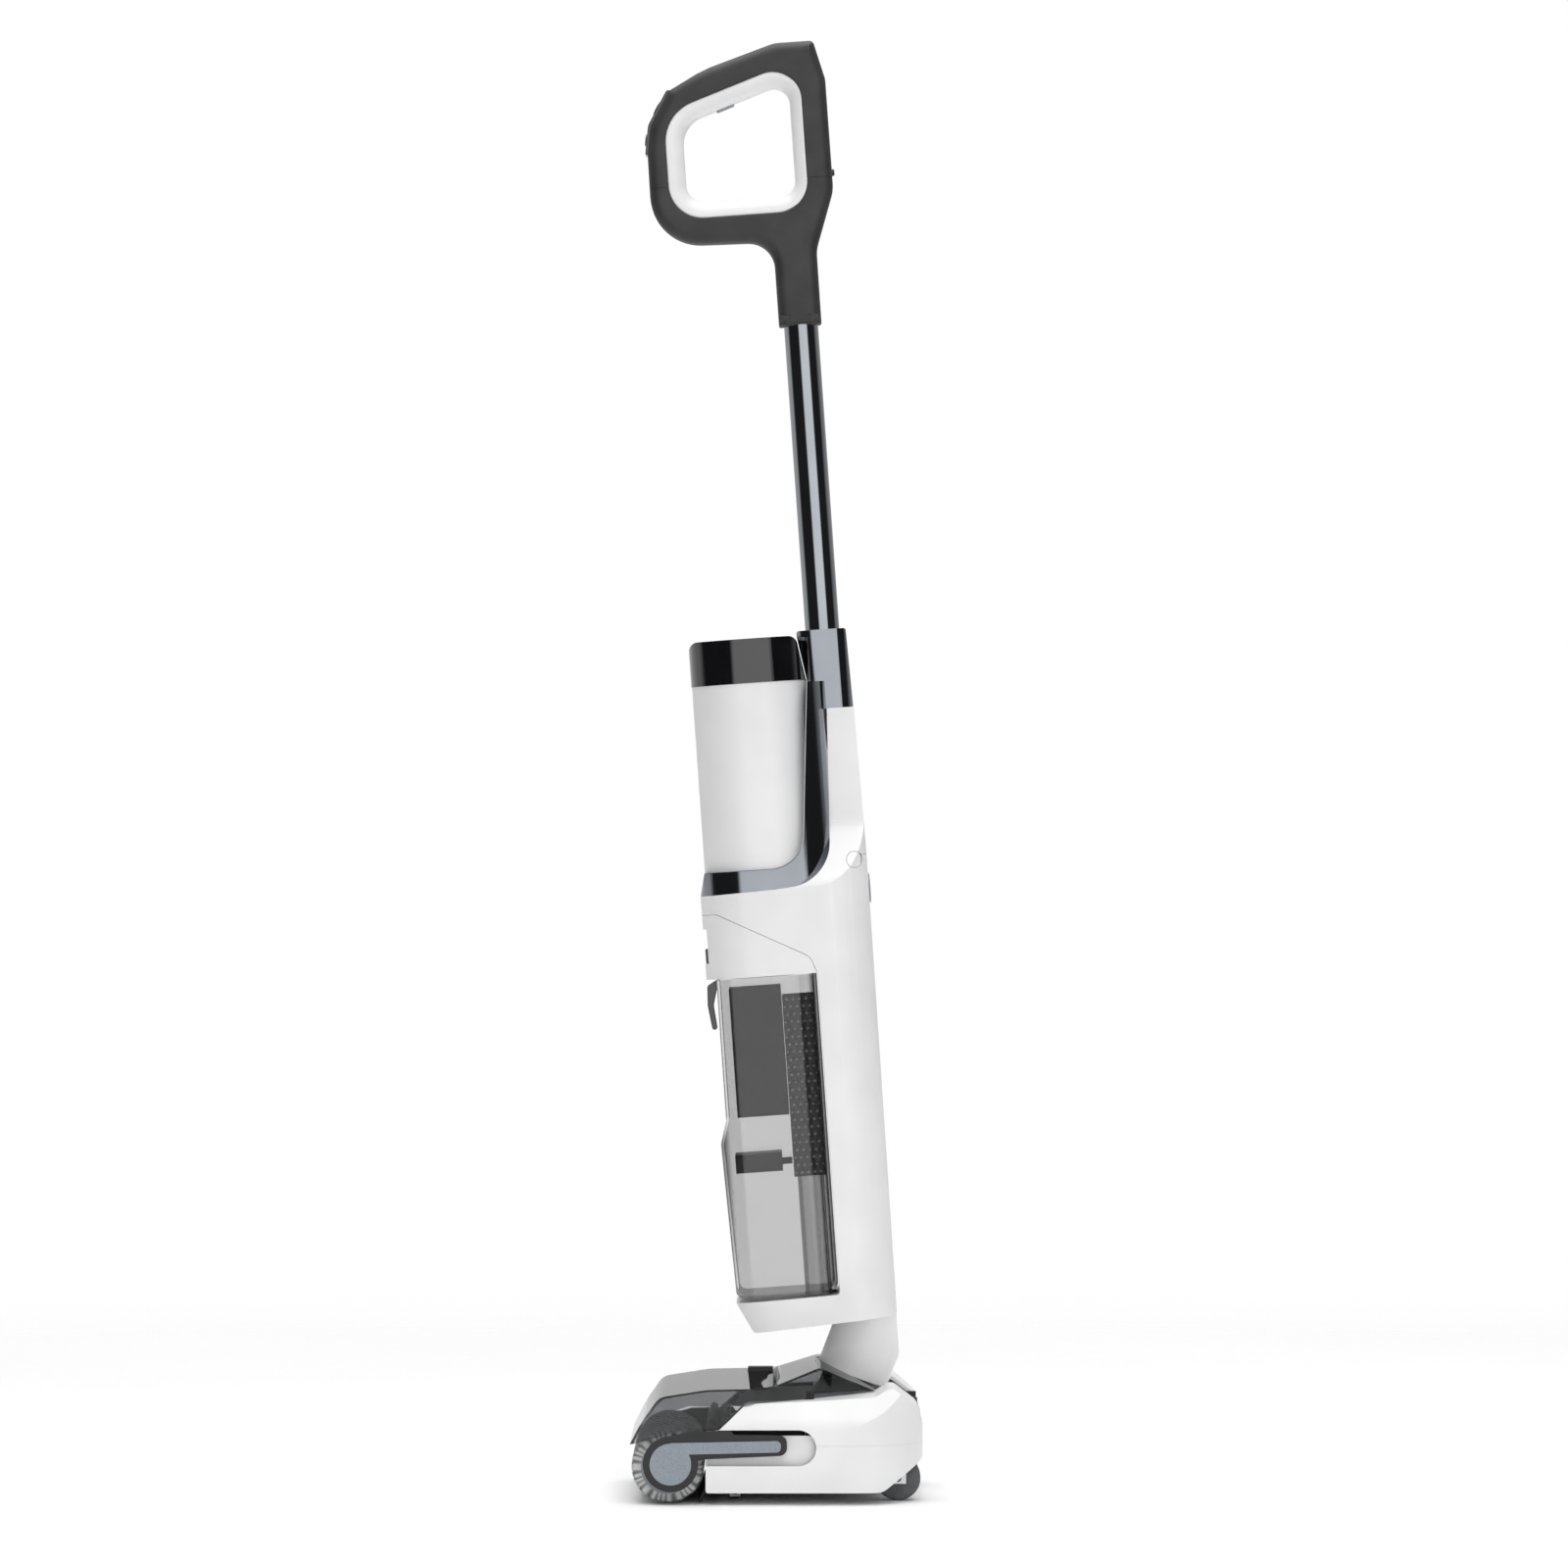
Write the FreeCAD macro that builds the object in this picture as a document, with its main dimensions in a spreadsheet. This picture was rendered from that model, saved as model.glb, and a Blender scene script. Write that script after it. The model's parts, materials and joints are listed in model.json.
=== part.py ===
"""Upright wet and dry floor washer with a roller base, a swivelling neck and two water tanks.

Frame: +Z up, the roller end faces -Y, millimetres, origin under the middle of the whole on the floor.
The upright is drawn in a frame of its own (u = x, v rearward, w up the pole) that leans forward.
"""
import FreeCAD, Part
import math
import os
import re
import Sketcher
from FreeCAD import Placement, Rotation, Vector

# Driving dimensions: each becomes one cell of the sheet.
SIZES = {
    # where the upright's frame stands, and the hinge low in the base
    "lean": 4.0, "frame_y": 64.0, "frame_z": 50.0,
    "neck_tilt": 20.85, "hinge_y": 46.0, "hinge_z": 65.0,
    # shared walls and clearances
    "wall": 2.5, "thin_wall": 1.5, "gap": 0.3, "fit": 0.05, "seat": 0.1,
    # heights up the upright, from the ledge to the grip
    "ledge_low": 79.0, "bay_floor": 103.5, "tank_height": 243.0, "lid_rise": 49.0,
    "block_height": 14.5, "trim_height": 17.0, "module_height": 141.0, "cap_height": 33.5,
    "spine_rise": 118.0, "collar_height": 60.0, "pole_shown": 231.0, "grip_seam": 111.0,
    # depths and widths of the upright
    "body_front": -95.4, "body_rear": 32.2, "body_half": 55.0, "body_corner": 36.0,
    "bay_back": -11.2, "module_front": -91.0, "module_rear": -4.0, "module_half": 46.0, "module_corner": 38.0,
    "collar_half": 19.5, "spine_half": 24.0, "grip_half": 17.5, "grip_wall": 3.0,
    # pole
    "pole_radius": 13.0, "pole_wall": 1.2, "pole_v": 10.7, "pole_insert": 24.0,
    # buttons
    "power_radius": 5.5, "clean_radius": 4.5, "rear_radius": 2.6, "release_radius": 6.0,
    "button_rise": 1.0,
    # dirty-water tank and what it holds
    "tank_half": 50.0, "tank_wall": 2.2, "inlet_v": -27.0, "inlet_radius": 10.0,
    "strainer_half": 30.0, "notch_half": 33.0, "strainer_foot": 90.0,
    "guide_half": 34.0, "float_half": 25.0, "float_height": 14.0, "float_foot": 95.0,
    "filter_radius": 26.0, "filter_height": 14.0, "air_v": -54.0, "air_radius": 13.0,
    # clean-water tank
    "clean_half": 33.0, "clean_depth": 20.0, "clean_foot": 101.0, "filler_radius": 11.0,
    # suction motor and battery
    "motor_radius": 27.0, "motor_height": 56.0, "impeller_radius": 22.0, "shaft_radius": 2.5,
    "stator_radius": 20.0, "rotor_radius": 10.0, "cell_radius": 9.1, "cell_height": 65.0,
    "cell_pitch": 18.8,
    # neck and knuckle
    "neck_radius": 27.7, "swivel_radius": 22.0, "duct_radius": 17.0, "knuckle_radius": 24.0,
    "knuckle_half": 27.5, "neck_foot": 26.0, "pin_radius": 4.0, "cradle_half": 31.0,
    # base
    "base_half": 126.0, "base_front": -55.0, "base_rear": 107.6, "base_low": 9.0,
    "base_seam": 44.0, "base_corner": 55.0,
    "roller_y": -83.4, "roller_radius": 27.5, "core_radius": 20.0,
    "core_wall": 2.5, "stub_radius": 6.0, "slot_depth": 6.7,
    "cap_y": -81.2, "cap_z": 30.4, "cap_radius": 20.6, "insert_radius": 15.6,
    "cover_wall": 2.0,
    "rear_wheel_y": 88.8, "rear_wheel_radius": 17.0, "rear_wheel_x": 75.0, "rear_wheel_width": 14.0,
    "front_wheel_y": -33.3, "front_wheel_radius": 6.5, "front_wheel_x": 65.0, "front_wheel_width": 8.0,
    "axle_radius": 2.5, "drive_y": -28.0, "drive_z": 32.0, "drive_radius": 13.0,
    "pulley_big": 13.0, "pulley_small": 6.0, "pulley_width": 5.0, "belt_thick": 1.2,
    "screw_radius": 1.6, "screw_head": 3.0,
}

# Places that follow from the driving dimensions.
DERIVED = {
    "lid_edge": "bay_floor + tank_height",
    "lid_front": "lid_edge + lid_rise",
    "shoulder": "lid_front + block_height",
    "module_floor": "shoulder + trim_height",
    "cap_seam": "module_floor + module_height",
    "cap_top": "cap_seam + cap_height",
    "spine_top": "module_floor + spine_rise",
    "pole_seat": "cap_seam + 10",
    "collar_top": "spine_top + collar_height",
    "grip": "collar_top + pole_shown",
    "hinge_v": "(hinge_y - frame_y) * cos(lean) + (hinge_z - frame_z) * sin(lean)",
    "hinge_w": "(hinge_z - frame_z) * cos(lean) - (hinge_y - frame_y) * sin(lean)",
    "clean_top": "shoulder + 23",
    "clean_front": "body_rear - clean_depth",
    "tank_front": "body_front + 6.5",
    "motor_floor": "module_floor + wall + 6",
    "motor_top": "motor_floor + motor_height",
    "cell_floor": "motor_top + 4.5",
    "roller_z": "roller_radius",
    "slot_floor": "base_half - slot_depth",
    "strainer_height": "tank_height - 115",
    "roller_half": "base_half - 14",
    "arm_inner": "base_half - 12",
    "cover_half": "base_half - 9",
}

# Turn and origin of each frame; every turn is about the X axis.
FRAMES = {
    "base": ("0", "0", "0"),
    "upright": ("lean", "frame_y", "frame_z"),
}
VIEWS = {
    "side": Rotation(Vector(0, 1, 0), Vector(0, 0, 1), Vector(1, 0, 0)),
    "plan": Rotation(),
    "front": Rotation(Vector(1, 0, 0), Vector(0, 0, 1), Vector(0, -1, 0)),
}
ALONG_X = Rotation(Vector(0, 1, 0), 90)

doc = FreeCAD.newDocument("floor_washer")
sheet = doc.addObject("Spreadsheet::Sheet", "Sizes")
nodes = []


def fill_sheet():
    """Write every driving dimension into the sheet under its own alias."""
    for row, (name, number) in enumerate(SIZES.items(), start=1):
        sheet.set(f"A{row}", str(number))
        sheet.setAlias(f"A{row}", name)
    doc.recompute()


def full(text):
    """Spell a short expression out in the sheet's cells."""
    def spelled(match):
        word = match.group(0)
        if word in DERIVED:
            return "(" + full(DERIVED[word]) + ")"
        return "Sizes." + word if word in SIZES else word
    return re.sub(r"[a-z_][a-z_0-9]*", spelled, str(text))


def number(text):
    """The present value of a short expression."""
    return float(sheet.evalExpression(full(text)))


def bind(thing, **properties):
    """Tie properties of one object to expressions; a double underscore stands for a dot."""
    for name, text in properties.items():
        thing.setExpression(name.replace("__", "."), full(text))
    return thing


def put(thing, x="0", y="0", z="0", turn=None):
    """Place an object by three expressions and a fixed turn."""
    thing.Placement = Placement(Vector(number(x), number(y), number(z)), turn or Rotation())
    return bind(thing, Placement__Base__x=x, Placement__Base__y=y, Placement__Base__z=z)


def box(x, y, z):
    """Block between three pairs of expressions (low, high)."""
    block = doc.addObject("Part::Box", "block")
    bind(block, Length=f"({x[1]}) - ({x[0]})", Width=f"({y[1]}) - ({y[0]})", Height=f"({z[1]}) - ({z[0]})")
    return put(block, x[0], y[0], z[0])


def wide_box(half, y, z):
    """Block that is symmetric about the middle plane."""
    return box((f"-({half})", half), y, z)


def rod(radius, length, x="0", y="0", z="0", turn=None):
    """Cylinder from a point along its turned Z axis."""
    bar = bind(doc.addObject("Part::Cylinder", "rod"), Radius=radius, Height=length)
    return put(bar, x, y, z, turn)


def tilted_rod(radius, length, y, z, tilt, start="0"):
    """Cylinder in the middle plane whose axis is tilted about X by an expression."""
    base_y = f"({y}) - ({start}) * sin({tilt})"
    base_z = f"({z}) + ({start}) * cos({tilt})"
    bar = rod(radius, length, "0", base_y, base_z, Rotation(Vector(1, 0, 0), number(tilt)))
    return bind(bar, Placement__Rotation__Angle=tilt)


def combine(kind, parts):
    """Boolean of two or more objects: MultiFuse or MultiCommon."""
    whole = doc.addObject("Part::" + kind, "whole")
    whole.Shapes = parts
    return whole


def fuse(*parts):
    return combine("MultiFuse", list(parts))


def common(*parts):
    return combine("MultiCommon", list(parts))


def cut(base, *tools):
    """The base with every tool taken away."""
    rest = doc.addObject("Part::Cut", "rest")
    rest.Base = base
    rest.Tool = tools[0] if len(tools) == 1 else fuse(*tools)
    return rest


def corner_span(before, corner, after, radius):
    """Where a fillet of this radius meets the two edges of a corner, and the arc between them."""
    back = (before - corner).normalize()
    ahead = (after - corner).normalize()
    if not radius:
        return corner, corner, None, True
    half = back.getAngle(ahead) / 2
    first = corner + back * (radius / math.tan(half))
    last = corner + ahead * (radius / math.tan(half))
    centre = corner + (back + ahead).normalize() * (radius / math.sin(half))
    turns_left = ahead.cross(back).z > 0
    ends = (first, last) if turns_left else (last, first)
    angles = [math.atan2(end.y - centre.y, end.x - centre.x) for end in ends]
    circle = Part.Circle(centre, Vector(0, 0, 1), radius)
    return first, last, Part.ArcOfCircle(circle, *angles), turns_left


def outline(view, corners, body=None):
    """Closed sketch of straight edges and tangent arcs through (across, up, radius) expressions."""
    owner = body.newObject if body else doc.addObject
    sketch = owner("Sketcher::SketchObject", "outline")
    points = [Vector(number(across), number(up), 0) for across, up, _ in corners]
    count = len(points)
    spans = []
    for i, corner in enumerate(points):
        spans.append(corner_span(points[i - 1], corner, points[(i + 1) % count], number(corners[i][2])))
    edges = []
    for i in range(count):
        edges.append(sketch.addGeometry(Part.LineSegment(spans[i][1], spans[(i + 1) % count][0]), False))
    for i, (across, up, radius) in enumerate(corners):
        held = edges[i]
        arc, turns_left = spans[i][2:]
        if arc is None:
            sketch.addConstraint(Sketcher.Constraint("Coincident", edges[i - 1], 2, edges[i], 1))
        else:
            bend = sketch.addGeometry(arc, False)
            near, far = (1, 2) if turns_left else (2, 1)
            sketch.addConstraint(Sketcher.Constraint("Tangent", edges[i - 1], 2, bend, near))
            sketch.addConstraint(Sketcher.Constraint("Tangent", edges[i], 1, bend, far))
            rule = sketch.addConstraint(Sketcher.Constraint("Radius", bend, number(radius)))
            sketch.setExpression(f"Constraints[{rule}]", full(radius))
            held = sketch.addGeometry(Part.Point(points[i]), True)
            sketch.addConstraint(Sketcher.Constraint("PointOnObject", held, 1, edges[i - 1]))
            sketch.addConstraint(Sketcher.Constraint("PointOnObject", held, 1, edges[i]))
        for kind, text, size in (("DistanceX", across, points[i].x), ("DistanceY", up, points[i].y)):
            rule = sketch.addConstraint(Sketcher.Constraint(kind, -1, 1, held, 1, size))
            sketch.setExpression(f"Constraints[{rule}]", full(text))
    if body:
        plane = {"side": "YZ_Plane", "plan": "XY_Plane", "front": "XZ_Plane"}[view]
        support = [one for one in body.Origin.OriginFeatures if one.Role == plane]
        sketch.AttachmentSupport = [(support[0], "")]
        sketch.MapMode = "FlatFace"
    else:
        sketch.Placement = Placement(Vector(), VIEWS[view])
    return sketch


def extrude(profile, ahead, behind="0"):
    """Prism of an outline, both ways along its normal."""
    prism = doc.addObject("Part::Extrusion", "prism")
    prism.Base = profile
    prism.DirMode = "Normal"
    prism.Solid = True
    return bind(prism, LengthFwd=ahead, LengthRev=behind)


def inset(profile, depth):
    """The same outline moved in (or out, when negative) by a distance."""
    moved = doc.addObject("Part::Offset2D", "inset")
    moved.Source = profile
    moved.Join = 2
    return bind(moved, Value=f"-({depth})")


def node(label, piece, frame="upright"):
    """Name a finished piece and stand it in its frame; a bare block keeps its own place within it."""
    turn, y, z = FRAMES[frame]
    if piece.TypeId == "Part::Box":
        block = piece
        piece = doc.addObject("Part::Refine", "piece")
        piece.Source = block
    if frame != "base":
        piece.Placement = Placement(Vector(0, number(y), number(z)), Rotation(Vector(1, 0, 0), number(turn)))
        bind(piece, Placement__Base__y=y, Placement__Base__z=z, Placement__Rotation__Angle=turn)
    piece.Label = label
    nodes.append(piece)
    return piece


def seat(label, piece, v, w, tilt="0", u="0"):
    """Stand a body that is drawn about its own Z axis at a point of the upright."""
    y = f"frame_y + ({v}) * cos(lean) - ({w}) * sin(lean)"
    z = f"frame_z + ({v}) * sin(lean) + ({w}) * cos(lean)"
    turn = Rotation(Vector(1, 0, 0), number(f"lean + {tilt}"))
    put(piece, u, y, z, turn)
    bind(piece, Placement__Rotation__Angle=f"lean + {tilt}")
    piece.Label = label
    nodes.append(piece)
    return piece


def lying(label, piece, x, y, z):
    """Lay a body that is drawn about its own Z axis along X in the base."""
    put(piece, x, y, z, ALONG_X)
    piece.Label = label
    nodes.append(piece)
    return piece


def turned(name, corners):
    """Body turned about its own Z axis from an outline of (radius, height, fillet) corners."""
    body = doc.addObject("PartDesign::Body", name)
    profile = outline("front", corners, body)
    doc.recompute()
    spin = body.newObject("PartDesign::Revolution", name + "_turning")
    spin.Profile = profile
    spin.ReferenceAxis = (profile, ["V_Axis"])
    spin.Angle = 360
    return body


def ring(name, outer, inner, low, high):
    """Turned ring or tube between two radii and two heights."""
    return turned(name, [(inner, low, 0), (outer, low, 0), (outer, high, 0), (inner, high, 0)])


def disc(name, radius, low, high, edge="0"):
    """Turned disc, with its upper rim rounded."""
    return turned(name, [("0", low, 0), (radius, low, 0), (radius, high, edge), ("0", high, 0)])


def rounded(across, up, corner):
    """Corners of a rounded rectangle from two pairs of expressions."""
    return [(across[0], up[0], corner), (across[1], up[0], corner),
            (across[1], up[1], corner), (across[0], up[1], corner)]


def halves(name, piece, reach, frame="upright"):
    """Split a piece at the middle plane into its left and right shells."""
    far = ("-200", "300")
    for side, span in (("right", ("0", reach)), ("left", (f"-({reach})", "0"))):
        node(f"{name}_{side}", common(piece, box(span, far, ("-10", "1200"))), frame)


# ---------------------------------------------------------------- outlines of the upright
def grip_corners():
    """Side outline of the loop handle and its stem."""
    rises = [(-97, 68, 38), (-6, 65, 20), (-6, 0, 1.5), (26.3, 0, 1.5), (26.5, 57, 30), (42.2, 101, 25),
             (42, 185, 15), (34.6, 215, 4), (5, 215, 25), (-50, 198.5, 60), (-77, 184.5, 10),
             (-93, 158.4, 12), (-96.4, 138, 15)]
    return [(v, f"grip + {rise}", radius) for v, rise, radius in rises]


def ring_corners():
    """Outer edge of the pale ring that lines the loop."""
    rises = [(-82.3, 86, 26), (22.9, 86, 24), (22.9, 201.5, 22), (-82.3, 167, 32)]
    return [(v, f"grip + {rise}", radius) for v, rise, radius in rises]


def hole_corners():
    """Inner edge of the same ring."""
    rises = [(-68.7, 98.5, 14), (13.9, 98.5, 12), (13.9, 185.6, 12), (-68.7, 158.3, 22)]
    return [(v, f"grip + {rise}", radius) for v, rise, radius in rises]


def body_corners():
    """Side outline of the body: ledge, tank bay, block under the cradle, and spine."""
    return [
        (-77.6, "ledge_low", 4), (30.8, "ledge_low + 5.5", 2), ("body_rear", "shoulder + 24", 0),
        (30.2, "spine_top", 0), (9.8, "spine_top", 0), (3.5, "shoulder + 4.5", 34),
        (-40, "shoulder + 1.3", 0), ("body_front", "shoulder - 0.5", 0), ("body_front", "lid_front", 0),
        (-84, "lid_front", 6), (-16, "lid_edge + 13", 10), ("bay_back", "lid_edge + 0.5", 0),
        ("bay_back", "bay_floor", 3), (-89.6, "bay_floor - 1.7", 0),
    ]


def plan_corners(inward="0"):
    """Plan of the body, moved in by a wall."""
    across = (f"-(body_half) + {inward}", f"body_half - {inward}")
    up = (f"body_front + {inward}", f"body_rear - {inward}")
    return rounded(across, up, f"body_corner - {inward}")


def face_corners(inward="0"):
    """Front outline of the body: clear of the plan below, drawn in to the spine above the cradle."""
    wide, narrow = f"body_half + 1 - {inward}", f"spine_half - {inward}"
    right = [(wide, f"ledge_low - 9 + {inward}", 0), (wide, "shoulder + 2", 20),
             (narrow, "shoulder + 48", 20), (narrow, "spine_top + 4", 0)]
    left = [(f"-({across})", up, radius) for across, up, radius in reversed(right)]
    return right + left


def body_solid():
    """The body as one closed solid."""
    side = extrude(outline("side", body_corners()), "body_half + 1", "body_half + 1")
    plan = extrude(outline("plan", plan_corners()), "spine_top + 50")
    face = extrude(outline("front", face_corners()), "body_half * 3", "body_half * 3")
    return common(side, plan, face)


def body_hollow():
    """The space inside the body's walls: the wide part, and the narrow spine above it."""
    side = extrude(inset(outline("side", body_corners()), "wall"), "body_half", "body_half")
    plan = extrude(outline("plan", plan_corners("wall")), "shoulder - 4")
    spine = wide_box("spine_half - wall - 1.5", ("-20", "body_rear"), ("shoulder - 30", "spine_top + 5"))
    return common(side, fuse(plan, spine))


def module_corners(inward="0"):
    """Side outline of the motor module, moved in by a wall."""
    return [(f"module_front + {inward}", f"module_floor + {inward}", 0),
            (f"-16.6 - {inward}", f"module_floor + {inward}", f"26 - {inward}"),
            (f"module_rear - {inward}", "cap_seam", 0), (f"module_front + {inward}", "cap_seam", 0)]


def module_plan(inward="0"):
    """Plan of the motor module, moved in by a wall."""
    across = (f"-(module_half) + {inward}", f"module_half - {inward}")
    return rounded(across, (f"module_front + {inward}", f"module_rear - {inward}"), f"module_corner - {inward}")


# ---------------------------------------------------------------- handle
def grip_strip(half, depth, v, rise):
    """Band of the grip's outer skin between two heights, as thick as the depth."""
    skin = cut(extrude(outline("side", grip_corners()), half, half),
               extrude(inset(outline("side", grip_corners()), depth), f"{half} + 1", f"{half} + 1"))
    return common(skin, wide_box(half, v, rise))


def build_grip():
    """Loop handle: four casing shells, lining ring, button panel, buttons, key and circuit board."""
    blank = extrude(outline("side", grip_corners()), "grip_half", "grip_half")
    window = extrude(inset(outline("side", ring_corners()), "-seat"), "grip_half + 1", "grip_half + 1")
    core = cut(extrude(inset(outline("side", grip_corners()), "grip_wall"),
                       "grip_half - grip_wall", "grip_half - grip_wall"),
               extrude(inset(outline("side", ring_corners()), "-grip_wall"), "grip_half", "grip_half"))
    hollow = common(core, wide_box("grip_half", ("-100", "50"), ("grip + pole_insert + 3", "grip + 230")))
    socket = rod("pole_radius + seat", "pole_insert + seat", "0", "pole_v", "grip")
    lead_way = rod("4", "10", "0", "pole_v", "grip + pole_insert - 3")
    front = (("-100", "-60"), ("grip + 136 - seat", "grip + 184 + seat"))
    rear = (("30", "50"), ("grip + 119 - seat", "grip + 189 + seat"))
    panel_seat = grip_strip("12 + seat", "2.5 + seat", *front)
    strip_seat = grip_strip("6 + seat", "1.5 + seat", *rear)
    wells = [tilted_rod("power_radius + gap", "9", "-85", "grip + 171.5", "58.5", "-7"),
             tilted_rod("clean_radius + gap", "8", "-94.9", "grip + 148", "80.5", "-6"),
             tilted_rod("rear_radius + gap", "8", "42.1", "grip + 114.7", "-90", "-6")]
    casing = cut(blank, window, hollow, socket, lead_way, panel_seat, strip_seat, *wells)
    for side, span in (("right", ("0", "grip_half")), ("left", ("-grip_half", "0"))):
        node(f"grip_arch_{side}", common(casing, box(span, ("-110", "60"), ("grip + grip_seam", "grip + 230"))))
    node("grip_stem", common(casing, wide_box("grip_half", ("-110", "60"), ("grip - 1", "grip + grip_seam"))))

    key_slot = tilted_box("14 + 2 * gap", "8 + 2 * gap", "-3", "5")
    lining = cut(extrude(outline("side", ring_corners()), "grip_half - 1.5", "grip_half - 1.5"),
                 extrude(outline("side", hole_corners()), "grip_half", "grip_half"))
    node("grip_ring", cut(lining, key_slot))
    node("mode_key", tilted_box("14", "8", "-1.6", "3"))

    panel = grip_strip("12", "2.5", ("-100", "-60"), ("grip + 136", "grip + 184"))
    holes = [tilted_rod("power_radius + gap", "12", "-85", "grip + 171.5", "58.5", "-8"),
             tilted_rod("clean_radius + gap", "12", "-94.9", "grip + 148", "80.5", "-8")]
    node("button_panel", cut(panel, *holes))
    node("rear_strip", grip_strip("6", "1.5", ("30", "50"), ("grip + 119", "grip + 189")))
    seat("power_button", disc("power_button", "power_radius", "-3.2", "button_rise", "0.6"),
         "-85", "grip + 171.5", "58.5")
    seat("clean_button", disc("clean_button", "clean_radius", "-3.2", "button_rise", "0.6"),
         "-94.9", "grip + 148", "80.5")
    seat("rear_button", disc("rear_button", "rear_radius", "-4", "2", "0.8"), "42.1", "grip + 114.7", "-90")


def tilted_box(length, width, low, high):
    """Block under the grip's sloping top bar, where the key is."""
    slope = Rotation(Vector(1, 0, 0), 18.3)
    block = doc.addObject("Part::Box", "key")
    bind(block, Length=width, Width=length, Height=f"({high}) - ({low})")
    y = f"-35.3 - ({length}) / 2 * cos(18.3) - ({low}) * sin(18.3)"
    z = f"grip + 169.4 - ({length}) / 2 * sin(18.3) + ({low}) * cos(18.3)"
    return put(block, f"-({width}) / 2", y, z, slope)


def build_pole():
    """Polished pole between the collar and the grip's stem."""
    foot, head = "pole_seat", "grip + pole_insert"
    seat("pole", ring("pole", "pole_radius", "pole_radius - pole_wall", "0", f"({head}) - ({foot})"),
         "pole_v", foot)


# ---------------------------------------------------------------- cradle, motor module
def build_cradle():
    """Dark polished trim: the cradle under and behind the module, and the collar round the pole."""
    corners = [
        (9.8, "spine_top", 0), (3.5, "shoulder + 4.5", 34), (-40, "shoulder + 1.3", 0),
        ("body_front", "shoulder - 0.5", 0), (-91.3, "module_floor - gap", 0),
        (-16.2, "module_floor - gap", 26), ("module_rear + gap", "cap_seam - 1", 0),
        ("module_rear - 5.2", "cap_top", 0), ("module_rear - 5.2", "collar_top", 2),
        (28.3, "collar_top", 2), (30.1, "spine_top", 0),
    ]
    side = extrude(outline("side", corners), "module_half + 10", "module_half + 10")
    cradle_plan = rounded(("-module_half - 3", "module_half + 3"), ("body_front", "10"), "body_corner")
    cradle = extrude(outline("plan", cradle_plan), "spine_top + 22")
    collar_plan = rounded(("-collar_half", "collar_half"), ("-9.5", "30.2"), "13")
    collar = common(extrude(outline("plan", collar_plan), "collar_top + 1"),
                    wide_box("collar_half + 1", ("-20", "40"), ("spine_top", "collar_top + 2")))
    lower = common(cradle, wide_box("60", ("-100", "20"), ("shoulder - 5", "cap_seam - 2")))
    bore = rod("pole_radius + 0.02", "collar_height", "0", "pole_v", "pole_seat - seat")
    air = rod("air_radius + 2 + seat", "40", "0", "air_v", "shoulder - 10")
    inner_side = extrude(inset(outline("side", corners), "wall"), "module_half", "module_half")
    inner_plan = rounded(("-module_half", "module_half"), ("body_front + wall", "7"), "body_corner - wall")
    hollow = common(inner_side, extrude(outline("plan", inner_plan), "cap_seam - 6"))
    blank = cut(common(side, fuse(lower, collar)), cut(hollow, rod("air_radius + 4", "60", "0", "air_v", "shoulder - 20")))
    node("cradle_trim", cut(blank, bore, air))


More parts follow.
